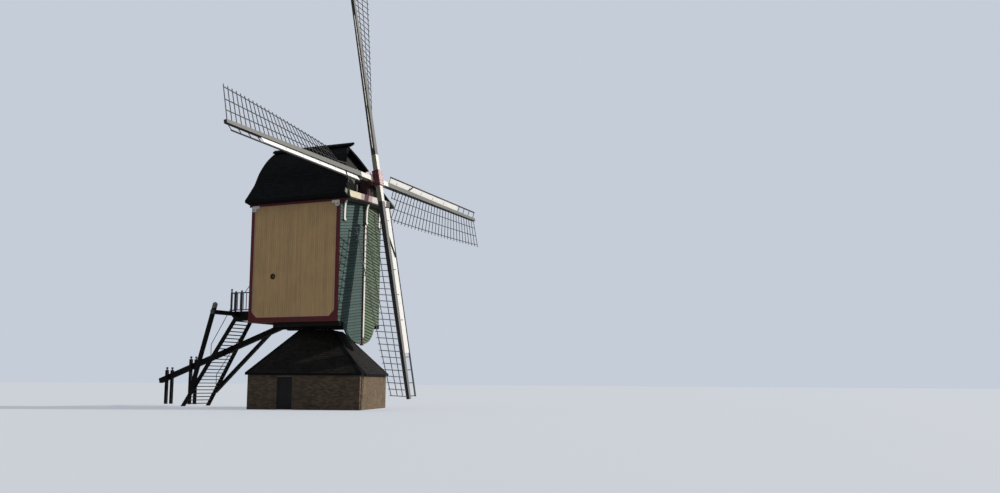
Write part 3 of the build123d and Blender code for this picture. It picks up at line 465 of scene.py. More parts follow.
# Tarred timber: sills under the body, platform, stair, tail pole with its struts and posts, and railings.
# The heads of the struts, the knobs of the posts and the ends of the cross beam are painted light grey.
tar_colour = (0.006, 0.006, 0.0065)
tar_grime = (0.02, 0.018, 0.016)
grey_cap = (0.2, 0.2, 0.21)
grey_tip = (0.09, 0.09, 0.095)
strut_head_z = 5.75
beam_tip_y = 3.52
tail_slope = 0.3504
pole_foot_x = -12.1
pole_foot_z = 1.555
knob_above_pole = 0.44
knob_line = pole_foot_z - tail_slope * pole_foot_x + knob_above_pole


def above(tree, direction, distance, of="Object", soft=0.01):
    """A mask that is 1 where a place, or a surface's facing, passes a distance along a direction."""
    coords = node(tree, "ShaderNodeTexCoord")
    along = node(
        tree,
        "ShaderNodeVectorMath",
        operation="DOT_PRODUCT",
        inputs={0: coords.outputs[of], 1: tuple(direction)},
    )
    return ranged(tree, along.outputs["Value"], distance - soft, distance + soft)


def capped(name, mask, cap, grain):
    """Tarred timber, painted grey where the mask of a function of the node tree says."""
    return finish(
        name, lambda tree: blended(tree, mask(tree), tar_colour, cap), tar_grime, grain,
        rough=0.7, dirty=0.3, grained=0.3, bump=0.004, gloss=0.15,
    )


def beam_tips(tree):
    """Both ends of the cross beam."""
    return worked(tree, "MAXIMUM", above(tree, (0, 1, 0), beam_tip_y), above(tree, (0, -1, 0), beam_tip_y))


tar = finish(
    "tarred_timber", tar_colour, tar_grime, (18, 18, 18),
    rough=0.7, dirty=0.35, grained=0.35, bump=0.004, gloss=0.15,
)
strut_tar = capped(
    "tarred_strut", lambda tree: above(tree, (0, 0, 1), strut_head_z), grey_cap, (18, 18, 3)
)
post_tar = capped(
    "tarred_post", lambda tree: above(tree, (-tail_slope, 0, 1), knob_line), grey_cap, (18, 18, 3)
)
beam_tar = capped("tarred_beam", beam_tips, grey_tip, (3, 18, 18))
rail_grey = finish(
    "grey_rails", (0.07, 0.07, 0.07), (0.02, 0.02, 0.02), (20, 20, 4),
    rough=0.7, dirty=0.4, grained=0.3, bump=0.002, gloss=0.3,
)
dress(tar, "floor_frame", "platform", "stair_stringers", "stair_treads", "tail_pole")
dress(strut_tar, "tail_struts")
dress(post_tar, "tail_posts")
dress(beam_tar, "cross_beam")
dress(rail_grey, "side_railings", "end_railings")

# Platform railing: turned wooden caps, pegged on the posts by their necks, and on each side an iron stay
# that is bolted from the top rail to the rear wall.
rail_top = 6.85
rail_end_x = -5.675
rail_middle_x = -4.92
rail_half = 1.255
gate_half = 0.865
tall_neck = 0.12
short_neck = 0.02
neck_in = 0.02
neck_foot = 0.045
neck_head = 0.03
cap_radius = 0.06
cap_seat = 0.7
stay_foot_x = -4.68
stay_head_x = -3.621
stay_rise = 1.23
stay_radius = 0.02


def turned(bm, place, foot, head, depth, segments=8):
    """A round piece along the Z axis of a place, with its radius at the foot and at the head."""
    bmesh.ops.create_cone(
        bm, cap_ends=True, segments=segments, radius1=foot, radius2=head, depth=depth, matrix=place
    )


def facing(at, out):
    """A place at a point, whose Z axis points out."""
    return Matrix.Translation(at) @ out.to_track_quat("Z", "Y").to_matrix().to_4x4()


bm = bmesh.new()
for x, y, neck in (
    (rail_end_x, rail_half, tall_neck),
    (rail_end_x, gate_half, short_neck),
    (rail_middle_x, rail_half, short_neck),
):
    for side in (-1, 1):
        place = Matrix.Translation((x, side * y, rail_top + neck / 2))
        turned(bm, place, neck_foot, neck_head, neck + neck_in)
        place = Matrix.Translation((x, side * y, rail_top + neck + cap_radius * cap_seat))
        bmesh.ops.create_uvsphere(bm, u_segments=12, v_segments=8, radius=cap_radius, matrix=place)
piece("railing_caps", bm, "mill_body", rail_grey)
bm = bmesh.new()
for side in (-1, 1):
    low = Vector((stay_foot_x, side * rail_half, rail_top))
    high = Vector((stay_head_x, side * rail_half, rail_top + stay_rise))
    turned(bm, facing((low + high) / 2, high - low), stay_radius, stay_radius, (high - low).length)
piece("railing_stays", bm, "mill_body", iron)

# Boarded walls of the mill body: upright ochre boards 134 mm wide, nailed to the frame with thin shadow
# lines between them. The rear wall is boarded up into its gable, under the curve of the roof.
body_front = 2.579
body_rear = -3.611
body_half = 2.165
body_bottom = 4.935
eaves = 11.89
board_pitch = 0.134
board_proud = 0.012
board_gap = 0.009
board_tones = (-0.07, 0.06)
vent_x = -1.97
vent_z = 7.6
vent_radius = 0.11
rear_door_half = 0.425
rear_door_top = 7.55
rear_door_foot = 5.64
roof_skin_drop = 0.17
roof_line = ((0, 15.45), (1.07, 14.46), (1.81, 13.20), (2.43, 12.40), (2.66, 12.12))
ochre = finish(
    "ochre_paint", (0.56, 0.365, 0.168), (0.25, 0.175, 0.09), (24, 24, 0.7),
    rough=0.75, dirty=0.35, grained=0.12, bump=0.002,
)
dress(ochre, "side_wall_near", "side_wall_far", "rear_wall")


def circle_through(a, b, c):
    """Centre and radius of the circle through three points."""
    (ax, ay), (bx, by), (cx, cy) = a, b, c
    d = 2 * (ax * (by - cy) + bx * (cy - ay) + cx * (ay - by))
    aa, bb, cc = ax * ax + ay * ay, bx * bx + by * by, cx * cx + cy * cy
    x = (aa * (by - cy) + bb * (cy - ay) + cc * (ay - by)) / d
    y = (aa * (cx - bx) + bb * (ax - cx) + cc * (bx - ax)) / d
    return (x, y), hypot(ax - x, ay - y)


roof_centre, roof_radius = circle_through(*roof_line[:3])


def roof_height(half):
    """Height of the roof's outer line at a distance from the middle."""
    half = abs(half)
    if half < roof_line[2][0]:
        return roof_centre[1] + sqrt(roof_radius ** 2 - (half - roof_centre[0]) ** 2)
    (y0, z0), (y1, z1) = roof_line[2:4]
    return z0 + (half - y0) * (z1 - z0) / (y1 - y0)


def boards_beside(low, high, pitch):
    """Edges of boards that fill a run at about a pitch."""
    count = round((high - low) / pitch)
    step = (high - low) / count
    return [(low + i * step + board_gap / 2, low + (i + 1) * step - board_gap / 2) for i in range(count)]


for side, name in ((-1, "near"), (1, "far")):
    bm = bmesh.new()
    y = sorted((side * (body_half - let_in), side * (body_half + board_proud)))
    for x in boards_beside(body_rear, body_front, board_pitch):
        tone = random.uniform(*board_tones)
        if x[0] < vent_x + vent_radius and x[1] > vent_x - vent_radius:
            slab(bm, x, y, (body_bottom, vent_z - vent_radius), tone=tone)
            slab(bm, x, y, (vent_z + vent_radius, eaves), tone=tone)
        else:
            slab(bm, x, y, (body_bottom, eaves), tone=tone)
    piece("side_boards_" + name, bm, "mill_body", ochre, worn=0.002)

bm = bmesh.new()
for low, high in boards_beside(-body_half, body_half, board_pitch):
    tone = random.uniform(*board_tones)
    spans = [(body_bottom, None)]
    if low < rear_door_half and high > -rear_door_half:
        spans = [(body_bottom, rear_door_foot), (rear_door_top, None)]
    for foot, head in spans:

        def corner(u, v, w):
            y = high if v > 0 else low
            z = foot if w < 0 else head if head is not None else roof_height(y) - roof_skin_drop
            return Vector((body_rear + let_in if u > 0 else body_rear - board_proud, y, z))

        block(bm, corner, tone)
piece("rear_boards", bm, "mill_body", ochre, worn=0.002)

# Vent in each side wall: a turned wooden ring nailed round the hole, and in the hole a shutter of three
# upright boards.
vent_hole = 0.085
vent_profile = ((vent_hole, -0.01), (vent_hole, 0.03), (0.13, 0.04), (0.165, 0.03), (0.17, 0))
shutter_radius = 0.088
shutter_boards = ((-vent_hole, -0.03), (-0.026, 0.026), (0.03, vent_hole))
shutter_in = (0.05, 0.03)
vent_wood = finish(
    "vent_wood", (0.03, 0.018, 0.008), (0.012, 0.009, 0.006), (20, 20, 20),
    rough=0.7, dirty=0.4, grained=0.3, bump=0.002, gloss=0.2,
)
vent_board = finish(
    "vent_board", (0.3, 0.15, 0.04), (0.08, 0.045, 0.02), (20, 20, 20),
    rough=0.7, dirty=0.4, grained=0.3, bump=0.002,
)
for side, name in ((-1, "near"), (1, "far")):
    bm = bmesh.new()
    centre = Vector((vent_x, side * body_half, vent_z))
    verts = [bm.verts.new(centre + Vector((r, side * out, 0))) for r, out in vent_profile]
    edges = [bm.edges.new(pair) for pair in zip(verts, verts[1:] + verts[:1])]
    bmesh.ops.spin(
        bm, geom=verts + edges, cent=centre, axis=(0, 1, 0), angle=2 * pi, steps=24, use_merge=True
    )
    piece("vent_ring_" + name, bm, "mill_body", vent_wood)
    bm = bmesh.new()
    for low, high in shutter_boards:
        reach = sqrt(shutter_radius ** 2 - min(abs(low), abs(high)) ** 2)
        slab(
            bm,
            (vent_x + low, vent_x + high),
            sorted(side * (body_half - deep) for deep in shutter_in),
            (vent_z - reach, vent_z + reach),
        )
    piece("vent_shutter_" + name, bm, "mill_body", vent_board, worn=0.003)

# Green boarded front: lapped boards with 170 mm showing, each half sloping down from the middle so that
# rain runs off to the corners. They go on down over the rounded tongue in front of the post, and are cut
# round the three consoles. The upper part of each board, just under the lap of the board above, is
# darkened by painted shadow, deeper on the half that faces the sun.
prow = 0.245
tongue_half = 1.6
tongue_drop = 1.23
beam_bottom = 11.82
lap_show = 0.17
lap_slope = tan(radians(8.8))
lap_thick = 0.034
lap_edge = 0.004
lap_cover = 0.012
lap_parts = 6
lap_rises = (0, 0.5, 0.68, 1)
lap_painted_shadow = {-1: 0.45, 1: 0.85}
lap_tones = (-0.1, 0.1)
least_lap = 0.02
least_run = 0.05
trim_step = 0.01
batten_half = 0.065
console_sides = (1.745, 1.955)
console_middle = 0.105
console_foot = 10.67
teal = (0.058, 0.105, 0.096)
olive = (0.12, 0.172, 0.104)
green = finish(
    "green_paint",
    lambda tree: blended(tree, above(tree, (0, 1, 0), 0.0, soft=0.02), teal, olive),
    (0.025, 0.038, 0.03), (3, 3, 30),
    rough=0.7, dirty=0.35, grained=0.15, bump=0.002, gloss=0.25,
)
dress(green, "front_wall")


def front_foot(y):
    """Lower edge of the front at a distance from the middle."""
    if abs(y) >= tongue_half:
        return body_bottom
    return body_bottom - tongue_drop * sqrt(1 - (y / tongue_half) ** 2)


def prow_x(y):
    """The face of the prow's boarding at a distance from the middle."""
    return body_front + prow * (1 - abs(y) / body_half)


def lap_ends(y, middle):
    """Foot and head of a board at a distance from the middle, where its lower edge meets the middle."""
    low = middle - y * lap_slope
    return max(low, front_foot(y) + lap_edge), min(low + lap_show + lap_cover, beam_bottom - let_in)


bm = bmesh.new()
tone_layer = bm.verts.layers.float.new("tone")
tongue_foot = body_bottom - tongue_drop
lap_count = ceil((beam_bottom + body_half * lap_slope - tongue_foot) / lap_show)
for side in (-1, 1):
    for row in range(-1, lap_count):
        middle = tongue_foot + row * lap_show
        near = batten_half + let_in
        far = body_half
        while far > near and lap_ends(far, middle)[1] - lap_ends(far, middle)[0] < least_lap:
            far -= trim_step
        while near < far and lap_ends(near, middle)[1] - lap_ends(near, middle)[0] < least_lap:
            near += trim_step
        spans = [(near, far)]
        if middle + lap_show - console_sides[0] * lap_slope > console_foot:
            spans = [(near, min(far, console_sides[0])), (console_sides[1], far)]
        if middle + lap_show > console_foot:
            spans[0] = (max(near, console_middle), spans[0][1])
        tone = random.uniform(*lap_tones)
        for start, end in spans:
            if end - start < least_run:
                continue
            made = bmesh.ops.create_grid(bm, x_segments=lap_parts, y_segments=3, size=1)["verts"]
            faces = {face for vert in made for face in vert.link_faces}
            for vert in made:
                y = start + (end - start) * (vert.co.x + 1) / 2
                low, high = lap_ends(y, middle)
                step = round((vert.co.y + 1) / 2 * 3)
                rise = lap_rises[step]
                thick = lap_thick + (lap_edge - lap_thick) * rise
                vert.co = Vector((prow_x(y) + thick, side * y, low + (high - low) * rise))
                vert[tone_layer] = tone - (lap_painted_shadow[side] if step > 1 else 0)
            out = bmesh.ops.extrude_face_region(bm, geom=list(faces), use_keep_orig=True)["geom"]
            for vert in (v for v in out if isinstance(v, bmesh.types.BMVert)):
                vert.co.x = prow_x(vert.co.y) - let_in
piece("front_laps", bm, "mill_body", green)

# Crimson trim: planed boards on the corners, foot and head of the boarded walls, haunched at the foot of
# each corner, with a pale bead nailed round their inner edge.
trim_proud = 0.03
trim_width = 0.24
trim_foot = 0.29
trim_head = 0.12
trim_haunch = 0.34
bead = 0.032
bead_proud = trim_proud + 0.006
crimson = finish(
    "crimson_paint", (0.125, 0.012, 0.014), (0.035, 0.012, 0.012), (14, 14, 1.2),
    rough=0.5, dirty=0.35, grained=0.2, bump=0.002, gloss=0.3,
)
bead_paint = finish(
    "pale_bead", (0.5, 0.36, 0.27), (0.2, 0.14, 0.1), (20, 20, 20),
    rough=0.6, dirty=0.3, grained=0.15, bump=0.001,
)
dress(crimson, "corner_trim")


def trim_bead(bm, to_place, low, high, out):
    """The bead round the inner edge of one trim frame, on the wall that faces out."""
    foot, head = body_bottom + trim_foot, eaves - trim_head
    left, right = low + trim_width, high - trim_width
    line = (
        (left + trim_haunch, foot), (right - trim_haunch, foot), (right, foot + trim_haunch),
        (right, head), (left, head), (left, foot + trim_haunch),
    )
    for a, b in zip(line, line[1:] + line[:1]):
        start, end = to_place(*a), to_place(*b)
        width = out.cross((end - start).normalized()) * bead

        def corner(u, v, w):
            return (end if u > 0 else start) + width * (v > 0) + out * (bead_proud if w > 0 else -let_in)

        block(bm, corner)


bm = bmesh.new()
for side in (-1, 1):
    trim_bead(
        bm,
        lambda x, z: Vector((x, side * body_half, z)),
        body_rear - trim_proud,
        body_front,
        Vector((0, side, 0)),
    )
trim_bead(
    bm,
    lambda y, z: Vector((body_rear, y, z)),
    -body_half - trim_proud,
    body_half + trim_proud,
    Vector((-1, 0, 0)),
)
piece("trim_beads", bm, "mill_body", bead_paint)

# Scrolls: carved white volutes with a short tail, nailed on the trim at the two upper corners of each
# side wall.
scroll_turns = 1.35
scroll_steps = 30
scroll_reach = 0.15
scroll_closing = 0.75
scroll_thick = 0.09
scroll_thinning = 0.5
scroll_proud = trim_proud + 0.05
scroll_edge = 0.04
scroll_in = 0.11
scroll_drop = 0.16
tail_long = 0.5
tail_proud = trim_proud + 0.045
tail_low = scroll_reach - 0.1
tail_high = scroll_reach + 0.05
touching = 0.0005
white = finish(
    "white_paint", (0.82, 0.81, 0.77), (0.3, 0.28, 0.25), (12, 12, 3),
    rough=0.55, dirty=0.2, grained=0.06, bump=0.002,
)
scroll_z = eaves - trim_head - scroll_drop
bm = bmesh.new()
for side in (-1, 1):
    for corner_x, way in ((body_front - scroll_edge, -1), (body_rear + scroll_edge, 1)):
        scroll_x = corner_x + way * scroll_in
        for i in range(scroll_steps):
            ends = []
            for share in (i / scroll_steps, (i + 1) / scroll_steps):
                angle = pi / 2 + share * scroll_turns * 2 * pi
                reach = scroll_reach * (1 - scroll_closing * share)
                arm = Vector((cos(angle) * -way * reach, 0, sin(angle) * reach))
                ends.append((arm, scroll_thick * (1 - scroll_thinning * share)))

            def corner(u, v, w):
                arm, thick = ends[u > 0]
                arm = arm * (1 + v * thick / (2 * arm.length))
                y = side * (body_half + (scroll_proud if w > 0 else trim_proud - let_in))
                return Vector((scroll_x + arm.x, y, scroll_z + arm.z))

            block(bm, corner)
        slab(
            bm,
            sorted((corner_x, corner_x + way * tail_long)),
            sorted((side * (body_half + trim_proud - let_in), side * (body_half + tail_proud))),
            (scroll_z + tail_low, scroll_z + tail_high),
        )
bmesh.ops.remove_doubles(bm, verts=bm.verts, dist=touching)
piece("trim_scrolls", bm, "mill_body", white)

# Centre batten of the front: a planed oak board over the joint of the two slopes, white on its face and
# crimson on its sides, with a crimson tip.
batten_tip = 4.1
batten_face_x = 2.904
batten_face_half = 0.075
batten_face_proud = 0.02
facing_front = 0.5
off_white = (0.72, 0.71, 0.67)


def batten_white(tree):
    """The face of the batten above its tip."""
    face = above(tree, (1, 0, 0), facing_front, of="Normal")
    return worked(tree, "MULTIPLY", face, above(tree, (0, 0, 1), batten_tip))


batten = finish(
    "batten_paint",
    lambda tree: blended(tree, batten_white(tree), (0.11, 0.012, 0.02), off_white),
    (0.2, 0.18, 0.15), (12, 12, 3),
    rough=0.5, dirty=0.3, grained=0.1, bump=0.002,
)
dress(batten, "centre_batten")
bm = bmesh.new()
slab(
    bm,
    (batten_face_x - let_in, batten_face_x + batten_face_proud),
    (-batten_face_half, batten_face_half),
    (batten_tip, console_foot),
)
piece("batten_face", bm, "mill_body", batten, worn=0.004)

# Carved faces of the three consoles: a raised strip that follows the bell-shaped front, and a small
# rolled foot under it, white in front, with painted shade darkening their sides.
console_line = (
    (0.032, console_foot), (0.034, 11.0), (0.04, 11.3), (0.058, 11.53), (0.095, 11.7), (0.16, beam_bottom)
)
console_places = (-1.85, 0.0, 1.85)
console_half = 0.075
console_proud = 0.045
roll_radius = 0.07
roll_width = 0.19
roll_in = 0.05
console_paint = finish(
    "console_paint",
    lambda tree: blended(
        tree, above(tree, (1, 0, 0), facing_front, of="Normal"), (0.055, 0.045, 0.035), (0.82, 0.81, 0.77)
    ),
    (0.2, 0.18, 0.15), (12, 12, 3),
    rough=0.6, dirty=0.25, grained=0.1, bump=0.002,
)
dress(console_paint, "consoles")
bm = bmesh.new()
for middle in console_places:
    base_x = batten_face_x if middle == 0 else prow_x(middle)
    for ends in zip(console_line, console_line[1:]):

        def corner(u, v, w):
            x, z = ends[w > 0]
            return Vector((base_x + x + (console_proud if u > 0 else -let_in), middle + v * console_half, z))

        block(bm, corner)
    place = Matrix.Translation((base_x + roll_in, middle, console_foot + roll_in))
    turned(bm, place @ Matrix.Rotation(pi / 2, 4, "X"), roll_radius, roll_radius, roll_width, segments=12)
bmesh.ops.remove_doubles(bm, verts=bm.verts, dist=touching)
piece("console_faces", bm, "mill_body", console_paint, worn=0.004)

# Front beam: one hewn oak beam across the head of the front. Its face is cream, then rose round the
# middle, then pale; painted shade darkens the beam below its face and at its far end.
beam_face_foot = 11.975
cream_end = -1.0
rose_end = 0.2
pale_end = 1.75
cream = (0.72, 0.66, 0.47)
rose = (0.42, 0.30, 0.29)
dull_white = (0.68, 0.65, 0.6)
far_end_painted_shade = (0.09, 0.09, 0.085)
beam_foot_painted_shade = (0.03, 0.022, 0.018)


def beam_colours(tree):
    """The coloured face of the beam, over its foot darkened by painted shade."""
    colour = cream
    for y, following in ((cream_end, rose), (rose_end, dull_white), (pale_end, far_end_painted_shade)):
        colour = blended(tree, above(tree, (0, 1, 0), y, soft=0.02), colour, following)
    return blended(tree, above(tree, (0, 0, 1), beam_face_foot), beam_foot_painted_shade, colour)


beam_paint = finish(
    "beam_paint", beam_colours, (0.16, 0.13, 0.1), (14, 3, 14),
    rough=0.6, dirty=0.3, grained=0.12, bump=0.002,
)
dress(beam_paint, "front_beam")

# Leaning gable behind the neck: upright olive boards nailed to the roof's front rafters, dark above,
# with white cover strips and two white posts that stand on the beam.
gable_dark_z = 14.15
verge_foot = 3.25
lip_foot = 11.99
lean = tan(radians(26))
beam_top = 12.33
gable_back = 0.4
gable_half = 2.1
gable_pitch = 0.2
gable_proud = 0.014
gable_tones = (-0.2, 0.2)
neck_room = 0.42
shortest_board = 0.05
roof_inset = 0.3
strip_places = (-0.85, -0.6, 0.6, 0.85)
strip_foot = 13.25
strip_half = 0.028
strip_proud = (0.01, 0.04)
gable_post_x = (2.62, 2.67)
gable_post_y = (0.57, 0.63)
gable_post_top = 12.95
gable_wood = finish(
    "gable_paint",
    lambda tree: blended(
        tree, above(tree, (0, 0, 1), gable_dark_z, soft=0.02), (0.08, 0.088, 0.064), (0.012, 0.011, 0.01)
    ),
    (0.03, 0.03, 0.022), (16, 16, 1),
    rough=0.7, dirty=0.4, grained=0.25, bump=0.002, gloss=0.2,
)
dress(gable_wood, "front_gable")


def lean_x(z, back=0.0):
    """The front plane of the roof, moved back along X."""
    return verge_foot - back - (z - lip_foot) * lean


bm = bmesh.new()
for low, high in boards_beside(-gable_half, gable_half, gable_pitch):
    tops = [roof_height(edge) - roof_inset for edge in (low, high)]
    if abs(low + high) / 2 < neck_room or min(tops) < beam_top + shortest_board:
        continue

    def corner(u, v, w):
        z = beam_top + let_in if w < 0 else tops[v > 0]
        x = lean_x(z, gable_back) + (gable_proud if u > 0 else -let_in)
        return Vector((x, high if v > 0 else low, z))

    block(bm, corner, random.uniform(*gable_tones))
piece("gable_boards", bm, "mill_body", gable_wood, worn=0.002)
bm = bmesh.new()
for middle in strip_places:

    def corner(u, v, w):
        z = strip_foot if w < 0 else gable_dark_z
        return Vector((lean_x(z, gable_back) + strip_proud[u > 0], middle + v * strip_half, z))

    block(bm, corner)
for side in (-1, 1):
    slab(bm, gable_post_x, sorted(side * y for y in gable_post_y), (beam_top - let_in, gable_post_top))
piece("gable_strips", bm, "mill_body", white, worn=0.003)

# Neck block and its cleats: the dark red block that carries the shaft, with five upright cleats nailed on
# its front, longest in the middle and every second one paler.
neck_front = 3.06
neck_top = 13.08
cleat_count = 5
cleat_pitch = 0.18
cleat_half = 0.035
cleat_proud = 0.03
cleat_lower = 0.12
cleat_foot = beam_top + 0.01
pale_cleat = 0.5
neck_paint = finish(
    "neck_paint", (0.035, 0.007, 0.009), (0.02, 0.012, 0.01), (16, 16, 1.5),
    rough=0.6, dirty=0.4, grained=0.3, bump=0.003,
)
dress(neck_paint, "neck_block")
bm = bmesh.new()
for i in range(cleat_count):
    from_middle = i - cleat_count // 2
    middle = from_middle * cleat_pitch
    slab(
        bm,
        (neck_front - let_in, neck_front + cleat_proud),
        (middle - cleat_half, middle + cleat_half),
        (cleat_foot, neck_top - cleat_lower * (2 - abs(from_middle))),
        tone=pale_cleat if i % 2 else 0.0,
    )
piece("neck_cleats", bm, "mill_body", neck_paint, worn=0.004)

# Roof of the mill: tarred shingles nailed in courses that bend over the curved rafters, cut to the
# leaning front edge, under a boxed ridge cap.
roof_rear = -3.82
roof_course = 0.21
roof_cover = 1.08
roof_shingle = 0.3
roof_shingle_gap = 0.002
roof_lifts = (0.012, 0.018)
roof_head = 0.003
roof_tones = (-0.3, 0.35)
front_room = 0.05
lip, flare, knee, ridge = (Vector(roof_line[i]) for i in (4, 3, 2, 0))
flare_run = (flare - lip).length
knee_run = (knee - flare).length
arc_run = 2 * asin((ridge - knee).length / 2 / roof_radius) * roof_radius
roof_run = flare_run + knee_run + arc_run
roof_courses = int(roof_run / roof_course)
dress(felt, "roof_near", "roof_far", "ridge_cap")


def roof_place(run):
    """Point and outward direction on the near half's roof line, at a distance up from the lip."""
    if run < flare_run:
        along = (flare - lip).normalized()
        return lip + along * run, Vector((along.y, -along.x))
    if run < flare_run + knee_run:
        along = (knee - flare).normalized()
        return flare + along * (run - flare_run), Vector((along.y, -along.x))
    centre = Vector(roof_centre)
    arm = Matrix.Rotation((run - flare_run - knee_run) / roof_radius, 2) @ (knee - centre)
    return centre + arm, arm.normalized()


for side, name in ((-1, "near"), (1, "far")):
    bm = bmesh.new()
    for row in range(roof_courses):
        low_at, low_out = roof_place(row * roof_run / roof_courses)
        high_at, high_out = roof_place(min((row + roof_cover) * roof_run / roof_courses, roof_run))
        count = ceil((verge_foot - roof_rear) / roof_shingle)
        shift = roof_shingle / 2 * (row % 2)
        for i in range(count + 1):
            start = max(roof_rear, roof_rear + i * roof_shingle - shift) + roof_shingle_gap
            end = roof_rear + (i + 1) * roof_shingle - shift - roof_shingle_gap
            if start > lean_x(low_at.y) - front_room:
                continue
            lift = random.uniform(*roof_lifts)

            def corner(u, v, w):
                at, out = (high_at, high_out) if v > 0 else (low_at, low_out)
                place = at + out * ((roof_head if v > 0 else lift) if w > 0 else -let_in)
                return Vector((min(end if u > 0 else start, lean_x(at.y)), side * place.x, place.y))

            block(bm, corner, random.uniform(*roof_tones))
    piece("roof_shingles_" + name, bm, "mill_body", felt)

# Verge boards: dark boards bent along the roof's leaning front edge and nailed to its rafters. Each ends
# in a pale carved foot; painted shade darkens the foot on the far side.
verge_steps = 16
foot_lines = ((0.0, 0.13), (0.13, 0.26), (0.26, 0.39))
far_foot_painted_shade = 0.6
foot_paint = finish(
    "verge_foot_paint", (0.17, 0.18, 0.14), (0.05, 0.05, 0.04), (16, 16, 16),
    rough=0.7, dirty=0.4, grained=0.3, bump=0.003,
)


def verge_board(bm, side, low, high, over, under, ahead, behind, tone=0.0):
    """A board along the verge between two distances up from the lip."""
    ends = [roof_place(run) for run in (low, high)]

    def corner(u, v, w):
        at, out = ends[u > 0]
        place = at + out * (over if v > 0 else under)
        return Vector((lean_x(place.y) + (ahead if w > 0 else behind), side * place.x, place.y))

    block(bm, corner, tone)


bm = bmesh.new()
for side in (-1, 1):
    for i in range(verge_steps):
        low, high = (roof_run * (i + step) / verge_steps for step in (0, 1))
        verge_board(bm, side, low, high, over=0.02, under=-0.16, ahead=0.014, behind=-0.02)
bmesh.ops.remove_doubles(bm, verts=bm.verts, dist=touching)
piece("verge_boards", bm, "mill_body", felt)
bm = bmesh.new()
for side in (-1, 1):
    for low, high in foot_lines:
        tone = -far_foot_painted_shade if side > 0 else 0.0
        verge_board(bm, side, low, high, over=0.035, under=-0.13, ahead=0.05, behind=0.0, tone=tone)
bmesh.ops.remove_doubles(bm, verts=bm.verts, dist=touching)
piece("verge_feet", bm, "mill_body", foot_paint, worn=0.004)

# Eaves boards: a crimson board nailed over the head of each side wall, in the shadow of the roof.
# It runs on to the front beam.
eaves_front = 2.9
eaves_rear = roof_rear + 0.02
eaves_proud = (0.032, 0.05)
eaves_low = eaves - 0.13
eaves_high = eaves + 0.02
bm = bmesh.new()
for side in (-1, 1):
    slab(
        bm,
        (eaves_rear, eaves_front),
        sorted(side * (body_half + proud) for proud in eaves_proud),
        (eaves_low, eaves_high),
    )
piece("eaves_boards", bm, "mill_body", crimson)

# Poll end: an iron head painted crimson, rose on its front, that grips two long stocks. Forged bands go
# round its sockets, wedges hold the inner stock, and bolts close its front.
shaft_tilt = radians(11.7)
cross_turn = radians(-2.3)
hub = Vector((3.675, 0, 13.353))
shaft_way = Vector((cos(shaft_tilt), 0, sin(shaft_tilt)))
shaft_up = Vector((-sin(shaft_tilt), 0, cos(shaft_tilt)))
across = Vector((0, 1, 0)) * cos(cross_turn) + shaft_up * sin(cross_turn)
upward = shaft_way.cross(across)
facing_ahead = 0.6
poll_half = 0.22
poll_reach = 0.46
stock_step = 0.34
wedge_places = ((-1, 1), (1, -1))
wedge_long = 0.45
wedge_off = 0.155
wedge_thick = 0.24
wedge_thin = 0.07
wedge_half = 0.12
band_places = (-0.14, 0.0, 0.14)
band_half = 0.03
band_proud = 0.012
band_in = 0.10
band_long = 0.30
bolt_rows = (-0.36, -0.18, 0.18, 0.36)
bolt_across = 0.13
bolt_seat = 0.008
poll_bolt = (0.03, 0.022, 0.02)
poll = finish(
    "poll_paint",
    lambda tree: blended(
        tree, above(tree, shaft_way, facing_ahead, of="Normal"), (0.085, 0.009, 0.011), (0.60, 0.44, 0.45)
    ),
    (0.04, 0.02, 0.02), (12, 12, 12),
    rough=0.5, dirty=0.3, grained=0.15, bump=0.002, gloss=0.25,
)
dress(poll, "poll_end")


def cross_place(along_y, along_up, ahead):
    """A point in the plane of the sails, from the hub: across, upward and ahead along the shaft."""
    return hub + across * along_y + upward * along_up + shaft_way * ahead


bm = bmesh.new()
for side, up in wedge_places:

    def corner(u, v, w):
        thick = 0 if w < 0 else wedge_thick if v < 0 else wedge_thin
        out = poll_reach + (wedge_long if v > 0 else let_in)
        return cross_place(side * out, up * (wedge_off + thick), -stock_step + u * wedge_half)

    block(bm, corner)
piece("poll_wedges", bm, "sail_cross", poll, worn=0.006)
bm = bmesh.new()
for ahead in band_places:
    for up in (-1, 1):
        for side in (-1, 1):

            def corner(u, v, w):
                out = poll_half + (band_proud if v > 0 else -let_in)
                along = band_in + (band_long if w > 0 else 0)
                return cross_place(side * out, up * along, ahead + u * band_half)

            block(bm, corner)
piece("poll_bands", bm, "sail_cross", poll, worn=0.003)
bm = bmesh.new()
for up in bolt_rows:
    for side in (-bolt_across, bolt_across):
        turned(bm, facing(cross_place(side, up, poll_half + bolt_seat), shaft_way), *poll_bolt)
piece("poll_bolts", bm, "sail_cross", iron)

# Stocks: two long hollow steel beams that taper to their tips, wedged through the poll end. Each is
# painted white at the hub, where painted shade makes its sides a dull olive, and further out it is black on
# its sides with a grey face.
painted_hub = 1.45
hub_face = (0.76, 0.75, 0.71)
hub_flank_painted_shade = (0.22, 0.21, 0.16)
arm_face = (0.12, 0.12, 0.11)
arm_flank = (0.009, 0.009, 0.01)


def stock_paint(along):
    """Colours of a stock that runs along a direction."""

    def colours(tree):
        front = above(tree, shaft_way, facing_ahead, of="Normal")
        middle = hub.dot(along)
        outer = worked(
            tree,
            "MAXIMUM",
            above(tree, along, middle + painted_hub),
            above(tree, -along, painted_hub - middle),
        )
        flank = blended(tree, outer, hub_flank_painted_shade, arm_flank)
        return blended(tree, front, flank, blended(tree, outer, hub_face, arm_face))

    return colours


for name, along in (("stock_outer", upward), ("stock_inner", across)):
    stock_wood = finish(
        name, stock_paint(along), (0.09, 0.085, 0.08), (8, 8, 8),
        rough=0.55, dirty=0.3, grained=0.12, bump=0.002,
    )
    dress(stock_wood, name)

